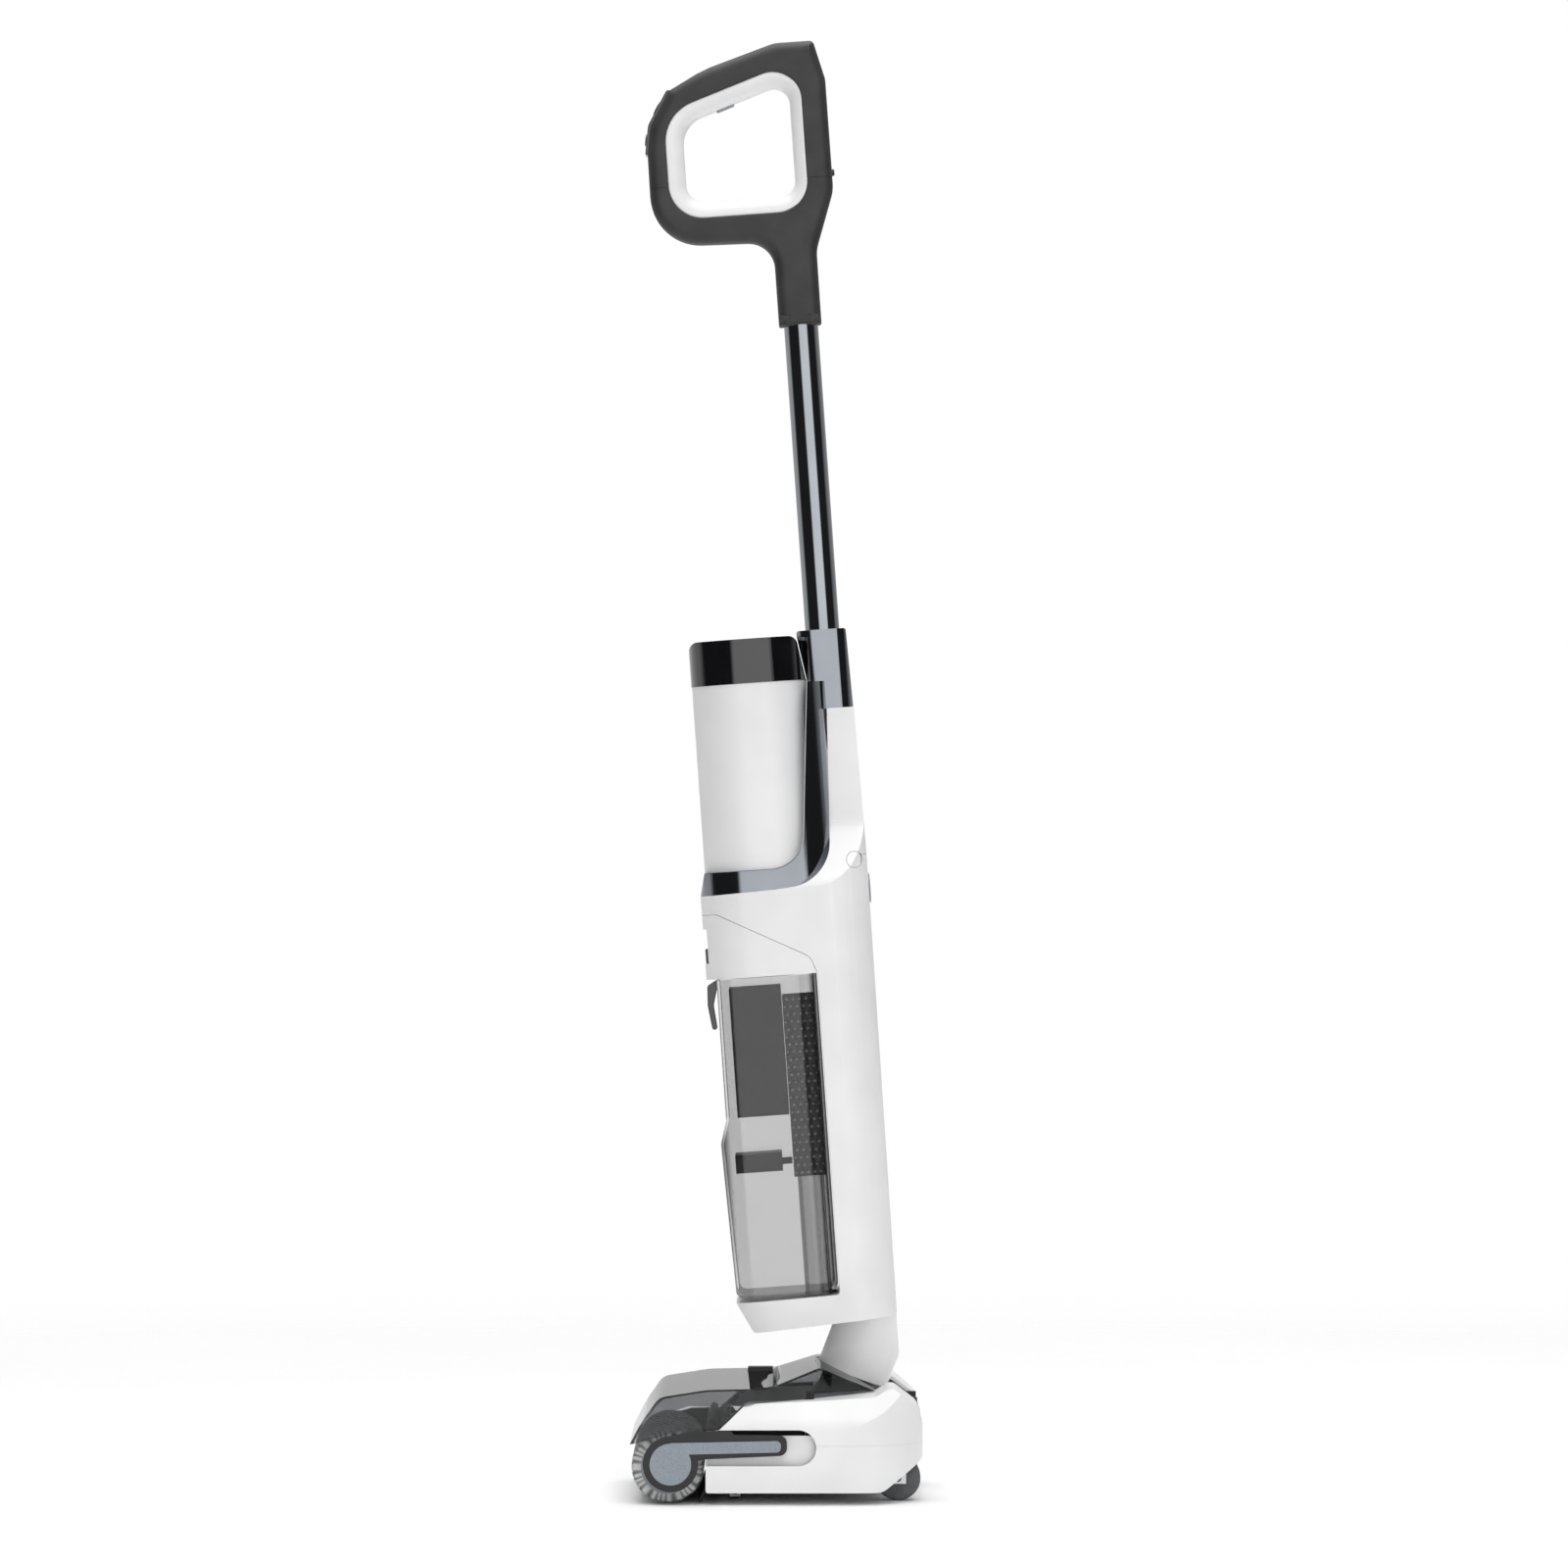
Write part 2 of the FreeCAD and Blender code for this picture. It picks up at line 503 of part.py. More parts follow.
def build_module():
    """Motor module: housing with the battery's tray, cells, suction motor, impeller, display cap."""
    side = extrude(outline("side", module_corners()), "60", "60")
    plan = extrude(outline("plan", module_plan()), "cap_seam")
    inner_side = extrude(outline("side", module_corners("wall")), "60", "60")
    inner_plan = extrude(outline("plan", module_plan("wall")), "cap_seam + 1")
    inlet = rod("air_radius", "20", "0", "air_v", "module_floor - 5")
    shell = cut(common(side, plan), common(inner_side, inner_plan), inlet)
    lid_side = [("module_front - 0.5", "cap_seam", 0), ("module_rear - 0.4", "cap_seam", 0),
                ("module_rear - 6", "cap_top", 7),
                ("module_front - 0.5", "cap_top", 7)]
    outer = common(extrude(outline("side", lid_side), "60", "60"), extrude(outline("plan", module_plan("-0.5")),
                   "cap_top + 1"))
    hollow = common(extrude(inset(outline("side", lid_side), "wall"), "60", "60"),
                    extrude(outline("plan", module_plan("wall")), "cap_top"))
    node("display_cap", cut(outer, hollow))
    can = [("air_radius", "0", 0), ("motor_radius", "0", 2), ("motor_radius", "motor_height", 2),
           ("shaft_radius + fit", "motor_height", 0), ("shaft_radius + fit", "motor_height - 3", 0),
           ("motor_radius - thin_wall", "motor_height - 3", 0), ("motor_radius - thin_wall", "thin_wall", 0),
           ("air_radius", "thin_wall", 0)]
    frame = put(turned("motor_can", can), "0", "air_v", "motor_floor")
    stator = put(ring("stator", "stator_radius", "rotor_radius + gap", "24", "48"), "0", "air_v", "motor_floor")
    node("motor_frame", fuse(frame, stator))
    wheel = [("0", "4", 0), ("9", "4", 0), ("9", "5", 0), ("impeller_radius", "5", 0),
             ("impeller_radius", "7", 0), ("10", "16", 4), ("shaft_radius", "17", 0),
             ("shaft_radius", "22", 0), ("rotor_radius", "25", 0), ("rotor_radius", "47", 0),
             ("shaft_radius", "48.5", 0), ("shaft_radius", "motor_height + 1", 0), ("0", "motor_height + 1", 0)]
    seat("impeller", turned("impeller", wheel), "air_v", "motor_floor")

    cells = []
    for row in (-1, 0, 1):
        for side_sign in (-0.5, 0.5):
            cells.append(rod("cell_radius", "cell_height", f"{side_sign} * cell_pitch",
                             f"air_v + {row} * cell_pitch", "cell_floor"))
    node("battery_cells", fuse(*cells))
    rim = rounded(("-cell_pitch - 4", "cell_pitch + 4"), ("air_v - 1.5 * cell_pitch - 3",
                  "air_v + 1.5 * cell_pitch + 3"), "8")
    tray = common(extrude(outline("plan", rim), "cell_floor + 14"),
                  wide_box("60", ("-120", "20"), ("cell_floor - 2", "cell_floor + 14")))
    pockets = []
    for row in (-1, 0, 1):
        for side_sign in (-0.5, 0.5):
            pockets.append(rod("cell_radius + seat", "20", f"{side_sign} * cell_pitch",
                               f"air_v + {row} * cell_pitch", "cell_floor"))
    shelf = common(side, extrude(outline("plan", module_plan("wall - 0.3")), "cell_floor"),
                   wide_box("60", ("-120", "20"), ("cell_floor - 2", "cell_floor")))
    node("motor_housing", fuse(shell, cut(tray, *pockets), shelf))


# ---------------------------------------------------------------- body, clean water
def build_body():
    """Two body shells round the tank bay, the rear bay liner, air riser, board and pump."""
    shell = cut(body_solid(), body_hollow())
    bay = wide_box("clean_half + gap", ("clean_front - gap", "60"), ("clean_foot - gap", "clean_top + gap"))
    neck_way = tilted_rod("swivel_radius - 1", "60", "hinge_v", "hinge_w", "-(neck_tilt + lean)", "50")
    drain = rod("inlet_radius", "12", "0", "inlet_v", "bay_floor - 8")
    riser = rod("air_radius + 2 + seat", "60", "0", "air_v", "lid_edge + 10")
    button_way = rod("release_radius + gap", "40", "20", "22.6", "shoulder + 19.8", ALONG_X)
    casing = cut(shell, bay, neck_way, drain, riser, button_way)
    halves("body_shell", casing, "body_half + 1")
    span = ("37.5", "70")
    plug = rod("release_radius", "80", "0", "22.6", "shoulder + 19.8", ALONG_X)
    node("tank_release", common(body_solid(), plug, box(span, ("0", "40"), ("shoulder", "shoulder + 40"))))
    node("rear_bay_liner", cut(wide_box("clean_half + 2", ("clean_front - 3.2", "clean_front - 1.2"),
                                        ("clean_foot - 4", "shoulder - 4.2")),
                               tilted_rod("6", "20", "clean_front - 8", "clean_foot + 20", "-90")))
    tube = cut(rod("air_radius + 2", "90", "0", "air_v", "lid_edge + 20"),
               rod("air_radius", "100", "0", "air_v", "lid_edge + 10"))
    under = extrude(inset(outline("side", lid_corners()), "-gap"), "60", "60")
    riser_tube = cut(common(tube, wide_box("30", ("-90", "0"), ("lid_edge + 30", "module_floor - 1"))), under)
    node("circuit_boards", fuse(
        wide_box("10", ("-88.6", "-87"), ("grip + 118", "grip + 152")),
        wide_box("22", ("-76", "-30"), ("cap_top - 12", "cap_top - 10.4")),
        wide_box("24", ("-6.5", "-4.9"), ("bay_floor + 110", "bay_floor + 215"))))
    node("water_pump", box(("37", "47"), ("-7", "9"), ("bay_floor + 10", "bay_floor + 48")))
    elbow = cut(wide_box("16", ("-42", "22"), ("ledge_low + 9.5", "bay_floor - 8")),
                wide_box("14.5", ("-40.5", "20.5"), ("ledge_low + 11", "bay_floor - 9.5")),
                rod("inlet_radius", "20", "0", "inlet_v", "bay_floor - 12"),
                rod("13", "8", "0", "6", "ledge_low + 4"))
    node("inner_ducts", fuse(elbow, riser_tube))
    node("duct_seals", fuse(
        cut(rod("air_radius + 5", "5.2", "0", "air_v", "module_floor + wall + 0.7"),
            rod("air_radius + 1", "9", "0", "air_v", "module_floor + wall - 1")),
        cut(rod("inlet_radius + 4", "1", "0", "inlet_v", "bay_floor + 0.1"),
            rod("inlet_radius - 1", "3", "0", "inlet_v", "bay_floor - 1"))))


def build_clean_tank():
    """Clean-water tank in the rear bay, with a filler cap on its rear and an outlet spout in front."""
    space = wide_box("clean_half", ("clean_front", "60"), ("clean_foot", "clean_top"))
    hollow = wide_box("clean_half - wall", ("clean_front + wall", "body_rear - wall - 1"),
                      ("clean_foot + wall", "clean_top - wall"))
    filler = tilted_rod("filler_radius + seat", "30", "clean_front + 12", "clean_top - 26", "-90")
    outlet = tilted_rod("2", "10", "clean_front - 5", "clean_foot + 20", "-90")
    spout = tilted_rod("3.9", "8", "clean_front - 6", "clean_foot + 20", "-90")
    bore = tilted_rod("2", "12", "clean_front - 7", "clean_foot + 20", "-90")
    node("clean_tank", cut(fuse(cut(common(body_solid(), space), hollow, filler, outlet), spout), bore))
    seat("filler_cap", disc("filler_cap", "filler_radius", "0", "5.2", "1"), "body_rear - 4",
         "clean_top - 26", "-90")


# ---------------------------------------------------------------- dirty water
def tank_corners(inward="0"):
    """Side outline of the clear tank, moved in by its wall."""
    return [(f"tank_front + {inward}", f"bay_floor + 1.5 + {inward}", 6),
            (f"bay_back - 0.7 - {inward}", f"bay_floor + 1.5 + {inward}", 8),
            (f"bay_back - 0.7 - {inward}", "lid_edge - 0.7", 0),
            (f"tank_front + 1.2 + {inward}", "lid_edge - 0.7", 0),
            (f"tank_front + 1.2 + {inward}", "bay_floor + 136", 8),
            (f"tank_front - 4 + {inward}", "bay_floor + 118.5", 6)]


def tank_prism(inward="0"):
    """Solid of the tank from its side outline and its plan."""
    across = (f"-(tank_half) + {inward}", f"tank_half - {inward}")
    plan = rounded(across, (f"tank_front - 5 + {inward}", f"bay_back - 0.7 - {inward}"), f"20 - {inward}")
    return common(extrude(outline("side", tank_corners(inward)), "60", "60"),
                  extrude(outline("plan", plan), "lid_edge + 10"))


def lid_corners():
    """Side outline of the tank's lid, which follows the body's slanting seam."""
    return [("body_front", "lid_edge", 0), ("body_front", "lid_front - gap", 0),
            (-84.2, "lid_front - gap", 6), (-16.2, "lid_edge + 13 - gap", 10),
            ("bay_back - gap", "lid_edge + 0.3", 0)]


def build_dirty_tank():
    """Clear tank with its lid, latch, finger grip, air guide, strainer, float, filter and inlet pipe."""
    drain = rod("inlet_radius + fit", "20", "0", "inlet_v", "bay_floor - 5")
    node("dirty_tank", cut(tank_prism(), tank_prism("tank_wall"), drain))
    hook = [("tank_front + 0.9", "lid_edge - 1", 0), ("tank_front - 6.3", "lid_edge - 5", 3),
            ("tank_front - 7", "lid_edge - 20", 8), ("tank_front - 4.6", "lid_edge - 38.5", 2),
            ("tank_front - 0.6", "lid_edge - 38.5", 2), ("tank_front - 2.4", "lid_edge - 20", 8),
            ("tank_front + 0.9", "lid_edge - 8", 0)]
    node("tank_grip", extrude(outline("side", hook), "12", "12"))

    lid = lid_corners()
    outer = common(extrude(outline("side", lid), "60", "60"), extrude(outline("plan", plan_corners()), "500"))
    inner = common(extrude(inset(outline("side", lid), "wall"), "60", "60"),
                   extrude(outline("plan", plan_corners("wall")), "500"))
    notch = wide_box("notch_half", ("-120", "body_front + 4.8"), ("lid_edge + 11.5", "lid_edge + 38"))
    notch_wall = common(wide_box("notch_half + 2", ("-96", "body_front + 7"), ("lid_edge + 9", "lid_edge + 40.5")), outer)
    out_hole = rod("air_radius", "60", "0", "air_v", "lid_edge + 20")
    filter_hole = rod("filter_radius + seat", "10", "0", "air_v", "lid_edge - 4")
    node("tank_lid", cut(fuse(cut(outer, inner), notch_wall), notch, out_hole, filter_hole))
    node("tank_latch", wide_box("9", ("body_front + 0.6", "body_front + 4.5"),
                                ("lid_edge + 12", "lid_edge + 23")))
    pleats = [("3", "0", 0), ("filter_radius", "0", 1), ("filter_radius", "filter_height", 1),
              ("3", "filter_height", 0)]
    seat("pleated_filter", turned("pleated_filter", pleats), "air_v", "lid_edge - 1")
    guide = cut(wide_box("guide_half", ("-79", "-39.8"), ("bay_floor + 137.5", "lid_edge - 8")),
                wide_box("guide_half - thin_wall", ("-77.5", "-41.3"), ("bay_floor + 130", "lid_edge - 20")),
                rod("12", "40", "0", "air_v - 4", "lid_edge - 30"))
    node("air_guide", guide)
    build_strainer()
    lever = fuse(wide_box("float_half", ("-83", "-47.6"), ("bay_floor + float_foot", "bay_floor + float_foot"
                          " + float_height")),
                 wide_box("3", ("-48", "-40"), ("bay_floor + float_foot + 4", "bay_floor + float_foot + 9")))
    node("tank_float", lever)
    seat("inlet_pipe", ring("inlet_pipe", "inlet_radius", "inlet_radius - thin_wall", "0",
                            "tank_height - 30"), "inlet_v", "bay_floor + 1.6")


def build_strainer():
    """Perforated strainer round the inlet pipe: an open box with rows of round holes in both sides."""
    low = "bay_floor + strainer_foot"
    high = "bay_floor + strainer_foot + strainer_height"
    basket = cut(wide_box("strainer_half", ("-39.3", "-15.2"), (low, high)),
                 wide_box("strainer_half - thin_wall", ("-37.8", "-16.7"), (f"{low} + thin_wall", f"{high} + 1")),
                 rod("inlet_radius + gap", "10", "0", "inlet_v", f"{low} - 4"))
    holes = []
    for row in range(12):
        for column in range(3):
            holes.append(rod("1.2", "80", "-40", f"-33.3 + {column} * 5.6", f"{low} + 8 + {row} * 10", ALONG_X))
    node("debris_strainer", cut(basket, *holes))


# ---------------------------------------------------------------- neck
def build_neck():
    """Swivelling neck under the body, and the knuckle that hinges it to the base."""
    tilt = "-(neck_tilt + lean)"
    rear = "30.4"
    outer = common(tilted_rod("neck_radius", "120", "hinge_v", "hinge_w", tilt, "neck_foot"),
                   wide_box("60", ("-120", rear), ("-60", "ledge_low + 6")))
    bore = common(tilted_rod("swivel_radius + fit", "140", "hinge_v", "hinge_w", tilt, "neck_foot - 10"),
                  wide_box("60", ("-120", f"{rear} - 2.5"), ("-60", "ledge_low + 20")))
    node("neck_shell", cut(outer, bore, body_solid()))
    node("knuckle", knuckle_solid())


def knuckle_solid():
    """Barrel on the hinge line with a hollow collar for the swivel and a mouth towards the duct."""
    tilt = "-(neck_tilt + lean)"
    barrel = put(bind(doc.addObject("Part::Cylinder", "barrel"), Radius="knuckle_radius",
                      Height="2 * knuckle_half"), "-knuckle_half", "hinge_v", "hinge_w", ALONG_X)
    collar = tilted_rod("swivel_radius", "neck_foot + 12", "hinge_v", "hinge_w", tilt, "0")
    air = tilted_rod("duct_radius", "60", "hinge_v", "hinge_w", tilt, "-2")
    mouth = tilted_rod("duct_radius - 3", "40", "hinge_v", "hinge_w", "110", "0")
    bores = []
    for turn, sign in ((90, ""), (-90, "-")):
        bores.append(rod("pin_radius + fit", "20", f"{sign}(duct_radius + 2)", "hinge_v", "hinge_w",
                         Rotation(Vector(0, 1, 0), turn)))
    return cut(fuse(barrel, collar), air, mouth, *bores)


# ---------------------------------------------------------------- base
def base_corners():
    """Side outline of the base."""
    return [("base_front", "base_low", 2), (77, "base_low", 12), (97, 24, 6), ("base_rear", 32, 5),
            ("base_rear", 58, 12), (103.2, 72, 9), (84, 87, 7), (72, 79.5, 8), (25, 76.6, 30),
            (-24.8, 74.8, 8), (-45.8, 55.2, 8), ("base_front", 55, 0)]


def base_plan(inward="0"):
    """Plan of the base, open at the roller's end."""
    side, front, rear = f"base_half - {inward}", f"base_front - 1 + {inward}", f"base_rear - {inward}"
    corner = f"base_corner - {inward}"
    return [(side, front, 0), (side, rear, corner), (f"-({side})", rear, corner), (f"-({side})", front, 0)]


def base_face(inward="0"):
    """Front outline of the base, with its upper edges rounded off."""
    wide, narrow = f"base_half - {inward}", f"base_half - 24 - {inward}"
    right = [(wide, "-5", 0), (wide, f"60 - {inward} / 2", 16), (narrow, f"94 - {inward}", 10)]
    return right + [(f"-({x})", z, radius) for x, z, radius in reversed(right)]


def base_solid():
    """The base as one closed solid."""
    return common(extrude(outline("side", base_corners()), "base_half + 1", "base_half + 1"),
                  extrude(outline("plan", base_plan()), "120"),
                  extrude(outline("front", base_face()), "150", "150"))


def base_hollow():
    """The space inside the base's walls."""
    return common(extrude(inset(outline("side", base_corners()), "wall"), "base_half", "base_half"),
                  extrude(outline("plan", base_plan("wall")), "120"),
                  extrude(outline("front", base_face("wall")), "150", "150"))


def slot_recess(sign, depth):
    """Long recess in one side of the base for the roller's end arm."""
    profile = [(-80, 29.1, 0), (27.3, 29.1, 13.3), (27.3, 55.9, 13.3), (-80, 55.9, 0)]
    slab = extrude(outline("side", profile), "base_half + 5", "base_half + 5")
    span = side_span(sign, f"base_half - ({depth})", "base_half + 4")
    return common(slab, box(span, ("-90", "40"), ("20", "60")))


def wheel_wells():
    """Space for the four wheels in the base's underside."""
    wells = []
    for side in ("", "-"):
        for name in ("rear", "front"):
            width = f"{name}_wheel_width + 3"
            wells.append(rod(f"{name}_wheel_radius + 1.5", width,
                             f"{side}{name}_wheel_x - ({width}) / 2", f"{name}_wheel_y",
                             f"{name}_wheel_radius", ALONG_X))
    return wells


def axle_blocks(name, half_depth, high):
    """Two small cheeks beside each wheel of one pair."""
    blocks = []
    for side in ("", "-"):
        for cheek in ("-1", "1"):
            middle = f"{side}{name}_wheel_x + {cheek} * ({name}_wheel_width / 2 + 3.8)"
            blocks.append(box((f"{middle} - 2", f"{middle} + 2"),
                              (f"{name}_wheel_y - {half_depth}", f"{name}_wheel_y + {half_depth}"),
                              (f"{name}_wheel_radius - 4", high)))
    return blocks


def axle_bores():
    """Bores through the cheeks for the wheels' axles."""
    bores = []
    for side in ("", "-"):
        for name in ("rear", "front"):
            length = f"{name}_wheel_width + 13"
            bores.append(rod("axle_radius + fit", length, f"{side}{name}_wheel_x - ({length}) / 2",
                             f"{name}_wheel_y", f"{name}_wheel_radius", ALONG_X))
    return bores


def build_base():
    """Upper and lower base shells, slot liners, hinge cradle, pins, duct, squeegee and screws."""
    shell = cut(base_solid(), base_hollow())
    channel = wide_box("cradle_half + 3 + gap", ("18", "120"), ("33.2", "120"))
    slots = [slot_recess(1, "slot_depth"), slot_recess(-1, "slot_depth + 6")]
    blade_way = fuse(wide_box("106", ("-56", "-51"), ("8", "15")),
                     box(("-base_half + 6", "-base_half + 13"), ("-60", "-50"), ("11", "base_seam")))
    duct_way = wide_box("26 + gap", ("-60", "-50"), ("31.7", "51.8"))
    deck = wide_box("92", ("-44", "26"), ("60", "120"))
    bosses = [rod("5", "36", f"{x}", f"{y}", "base_low + 1") for x, y in screw_spots()]
    screw_ways = [rod("screw_radius + 0.02", "60", f"{x}", f"{y}", "base_low - 2") for x, y in screw_spots()]
    heads = [rod("screw_head + gap", "4", f"{x}", f"{y}", "base_low - 1") for x, y in screw_spots()]
    blocks = axle_blocks("rear", "6", "32") + axle_blocks("front", "4", "base_low + 4")
    low = cut(fuse(cut(shell, channel, duct_way, blade_way, *slots, *wheel_wells()), *blocks, *bosses),
              *axle_bores(), *screw_ways, *heads)
    node("base_lower_shell", common(low, wide_box("130", ("-70", "120"), ("0", "base_seam"))), "base")
    top_bosses = [rod("5", "60", f"{x}", f"{y}", "base_seam") for x, y in screw_spots()]
    pillars = common(base_solid(), fuse(*top_bosses))
    high = cut(fuse(cut(base_solid(), base_hollow(), channel, duct_way, deck, *slots), pillars),
               *screw_ways)
    node("base_upper_shell", common(high, wide_box("130", ("-70", "120"), ("base_seam + seat", "130"))), "base")
    node("base_screws", fuse(*[fuse(rod("screw_radius", "46", f"{x}", f"{y}", "base_low + 0.5"),
                                    rod("screw_head", "2.2", f"{x}", f"{y}", "base_low + 0.6"))
                               for x, y in screw_spots()]), "base")
    build_hinge_cradle()
    duct = cut(wide_box("26", ("-52", "19.5"), ("32", "51.5")),
               wide_box("24.5", ("-53", "18"), ("33.5", "50")),
               wide_box("12", ("10", "25"), ("34", "49")))
    node("suction_duct", duct, "base")
    blade = [(-61, 0.8, 0), (-58.6, 0.8, 0), (-51.9, 13.8, 0), (-54.8, 13.8, 0)]
    node("squeegee", extrude(outline("side", blade), "105", "105"), "base")
    liners = []
    for sign, depth in ((1, "slot_depth"), (-1, "slot_depth + 6")):
        profile = [("base_front + wall + 0.2", 28, 0), (27.1, 28, 14), (27.1, 56.6, 14), ("base_front + wall + 0.2", 56.6, 0)]
        slab = extrude(outline("side", profile), "base_half", "base_half")
        span = side_span(sign, f"base_half - ({depth}) - 2", f"base_half - ({depth}) - 0.2")
        liner = common(slab, box(span, ("-70", "40"), ("20", "51.5")))
        liners.append(cut(liner, rod("5", "140", "-140", "drive_y", "drive_z", ALONG_X)))
    node("slot_liners", fuse(*liners), "base")


def screw_spots():
    """Plan positions of the screws that hold the two base shells together."""
    return [("base_half - 84", "base_front + 12"), ("-(base_half - 84)", "base_front + 12"),
            ("base_half - 28", "50"), ("-(base_half - 28)", "50")]


def build_hinge_cradle():
    """Trough that lines the neck's channel and carries the hinge pins."""
    outer = wide_box("cradle_half + 3", ("20", "104"), ("33.5", "74"))
    inner = wide_box("cradle_half", ("10", "110"), ("36", "120"))
    pin_way = rod("pin_radius + 0.02", "100", "-50", "hinge_y", "hinge_z", ALONG_X)
    node("hinge_cradle", cut(outer, inner, pin_way), "base")
    length = "cradle_half - duct_radius"
    node("hinge_pins", fuse(
        rod("pin_radius", length, "duct_radius + 3", "hinge_y", "hinge_z", ALONG_X),
        rod("pin_radius", length, "-(cradle_half + 3)", "hinge_y", "hinge_z", ALONG_X)), "base")


def build_cover():
    """Clear cover over the roller and the duct, its latch, and the spray bar under it."""
    corners = [(-112, 43.7, 0), (-101.1, 65.4, 14), (-89.9, 84.4, 12), (-54.1, 91.1, 60), (-4, 92.3, 40),
               (30, 102.6, 5), (71.5, 81.5, 0), (25, 77.2, 20), (-25, 75.4, 8), (-46.2, 55.8, 8),
               (-70, 56.5, 0)]
    plan = [("cover_half", -113, 18), ("cover_half", -18, 26), (74, 40, 26), (56, 73, 8)]
    plan += [(f"-({x})", y, radius) for x, y, radius in reversed(plan)]
    inner_plan = [("cover_half - cover_wall", -111, 16), ("cover_half - cover_wall", -18, 25),
                  (72, 40, 25), (54.5, 71, 7)]
    inner_plan += [(f"-({x})", y, radius) for x, y, radius in reversed(inner_plan)]
    low = [(-130, 30, 0), (-112 + 2.2, 43.7, 0), (-99, 65.4, 13), (-88, 82.4, 11), (-54.1, 89, 60),
           (-4, 90.2, 40), (30, 100.4, 5), (80, 74, 0), (80, 30, 0)]
    outer = common(extrude(outline("side", corners), "130", "130"), extrude(outline("plan", plan), "120"))
    inner = common(extrude(outline("side", low), "130", "130"), extrude(outline("plan", inner_plan), "120"))
    neck_way = fuse(wide_box("cradle_half - 0.5", ("30", "90"), ("40", "120")),
                    tilted_rod("neck_radius + 2.6", "90", "hinge_y", "hinge_z", "-neck_tilt", "0"))
    latch_way = box(("-8.3", "8.3"), ("-24.3", "-4.7"), ("80", "110"))
    node("roller_cover", cut(outer, inner, neck_way, latch_way), "base")
    node("cover_latch", wide_box("8", ("-24", "-5"), ("86", "95")), "base")
    lying("spray_bar", disc("spray_bar", "2.8", "0", "2 * (base_half - 36)"), "-(base_half - 36)",
          "-50", "58.6")


def build_roller():
    """Roller: core tube, pile sleeve, right end cap with its lever arm, and the belt drive at the left."""
    half, inner = "roller_half", "core_radius - core_wall"
    core = [("stub_radius + fit", "0", 0), ("core_radius", "0", 0), ("core_radius", "2 * roller_half", 0),
            ("stub_radius + fit", "2 * roller_half", 0), ("stub_radius + fit", "2 * roller_half - 8", 0),
            (inner, "2 * roller_half - 8", 0), (inner, "8", 0), ("stub_radius + fit", "8", 0)]
    lying("roller_core", turned("roller_core", core), f"-({half})", "roller_y", "roller_z")
    pile = ring("roller_pile", "roller_radius", "core_radius", "1", "2 * roller_half - 1")
    lying("roller_pile", pile, f"-({half})", "roller_y", "roller_z")
    stub = rod("stub_radius", "14", "arm_inner - 12", "roller_y", "roller_z", ALONG_X)
    node("end_cap", cut(fuse(arm_plate(1), arm_disc(), stub), insert_plate("seat")), "base")
    node("end_cap_insert", insert_plate("0"), "base")
    node("belt_cover", arm_plate(-1), "base")
    build_drive()


def arm_corners():
    """Side outline of the end cap's lever arm."""
    return [(-84, 33, 0), (-40, 35, 0), (5.6, 37, 6), (5.6, 51.8, 6), (-34, 52.4, 0), (-36, 55.4, 0), (-68, 54.6, 4),
            (-84, 50, 0)]


def side_span(sign, low, high):
    """X range between two depths measured from the middle, on either side."""
    return (low, high) if sign > 0 else (f"-({high})", f"-({low})")


def arm_plate(sign):
    """Keyhole plate: a round cap over the roller's end with an arm towards the rear."""
    arm = extrude(outline("side", arm_corners()), "base_half", "base_half")
    cap = rod("cap_radius", "2 * base_half", "-base_half", "cap_y", "cap_z", ALONG_X)
    span = side_span(sign, "slot_floor + 0.5", "base_half")
    return common(fuse(arm, cap), box(span, ("-120", "30"), ("0", "70")))


def arm_disc():
    """Thick round part of the cap that reaches in to the roller."""
    return rod("cap_radius - 2", "slot_floor + 2 - arm_inner", "arm_inner", "cap_y", "cap_z", ALONG_X)


def insert_plate(grow):
    """Grey inlay of the keyhole plate."""
    corners = [("cap_y", "37.5 - " + grow, 0), ("1.2 + " + grow, "39.4 - " + grow, 3.5),
               ("1.2 + " + grow, "48 + " + grow, 3.5), ("cap_y", "46.4 + " + grow, 0)]
    arm = extrude(outline("side", corners), "base_half + 1", "base_half + 1")
    cap = rod("insert_radius + " + grow, "2 * base_half + 2", "-base_half - 1", "cap_y", "cap_z", ALONG_X)
    span = ("base_half - 1.5 - " + grow, "base_half + 0.4")
    return common(fuse(arm, cap), box(span, ("-120", "30"), ("0", "70")))


def build_drive():
    """Roller motor behind the roller, two pulleys and the toothed belt between them."""
    start = "-(roller_half + pulley_width + 1.7)"
    hub = [("0", "0", 0), ("pulley_big", "0", 0), ("pulley_big", "pulley_width", 0),
           ("stub_radius", "pulley_width", 0), ("stub_radius", "pulley_width + 9", 0),
           ("0", "pulley_width + 9", 0)]
    lying("roller_pulley", turned("roller_pulley", hub), start, "roller_y", "roller_z")
    shaft = [("0", "0", 0), ("pulley_small", "0", 0), ("pulley_small", "pulley_width", 0),
             ("2", "pulley_width", 0), ("2", "pulley_width + 10", 0), ("0", "pulley_width + 10", 0)]
    lying("motor_pulley", turned("motor_pulley", shaft), start, "drive_y", "drive_z")
    can = [("2 + fit", "0", 0), ("drive_radius", "0", 1), ("drive_radius", "60", 1), ("0", "60", 0),
           ("0", "8", 0), ("2 + fit", "8", 0)]
    lying("roller_motor", turned("roller_motor", can), f"{start} + pulley_width + 4.5", "drive_y", "drive_z")
    node("drive_belt", belt_loop(), "base")


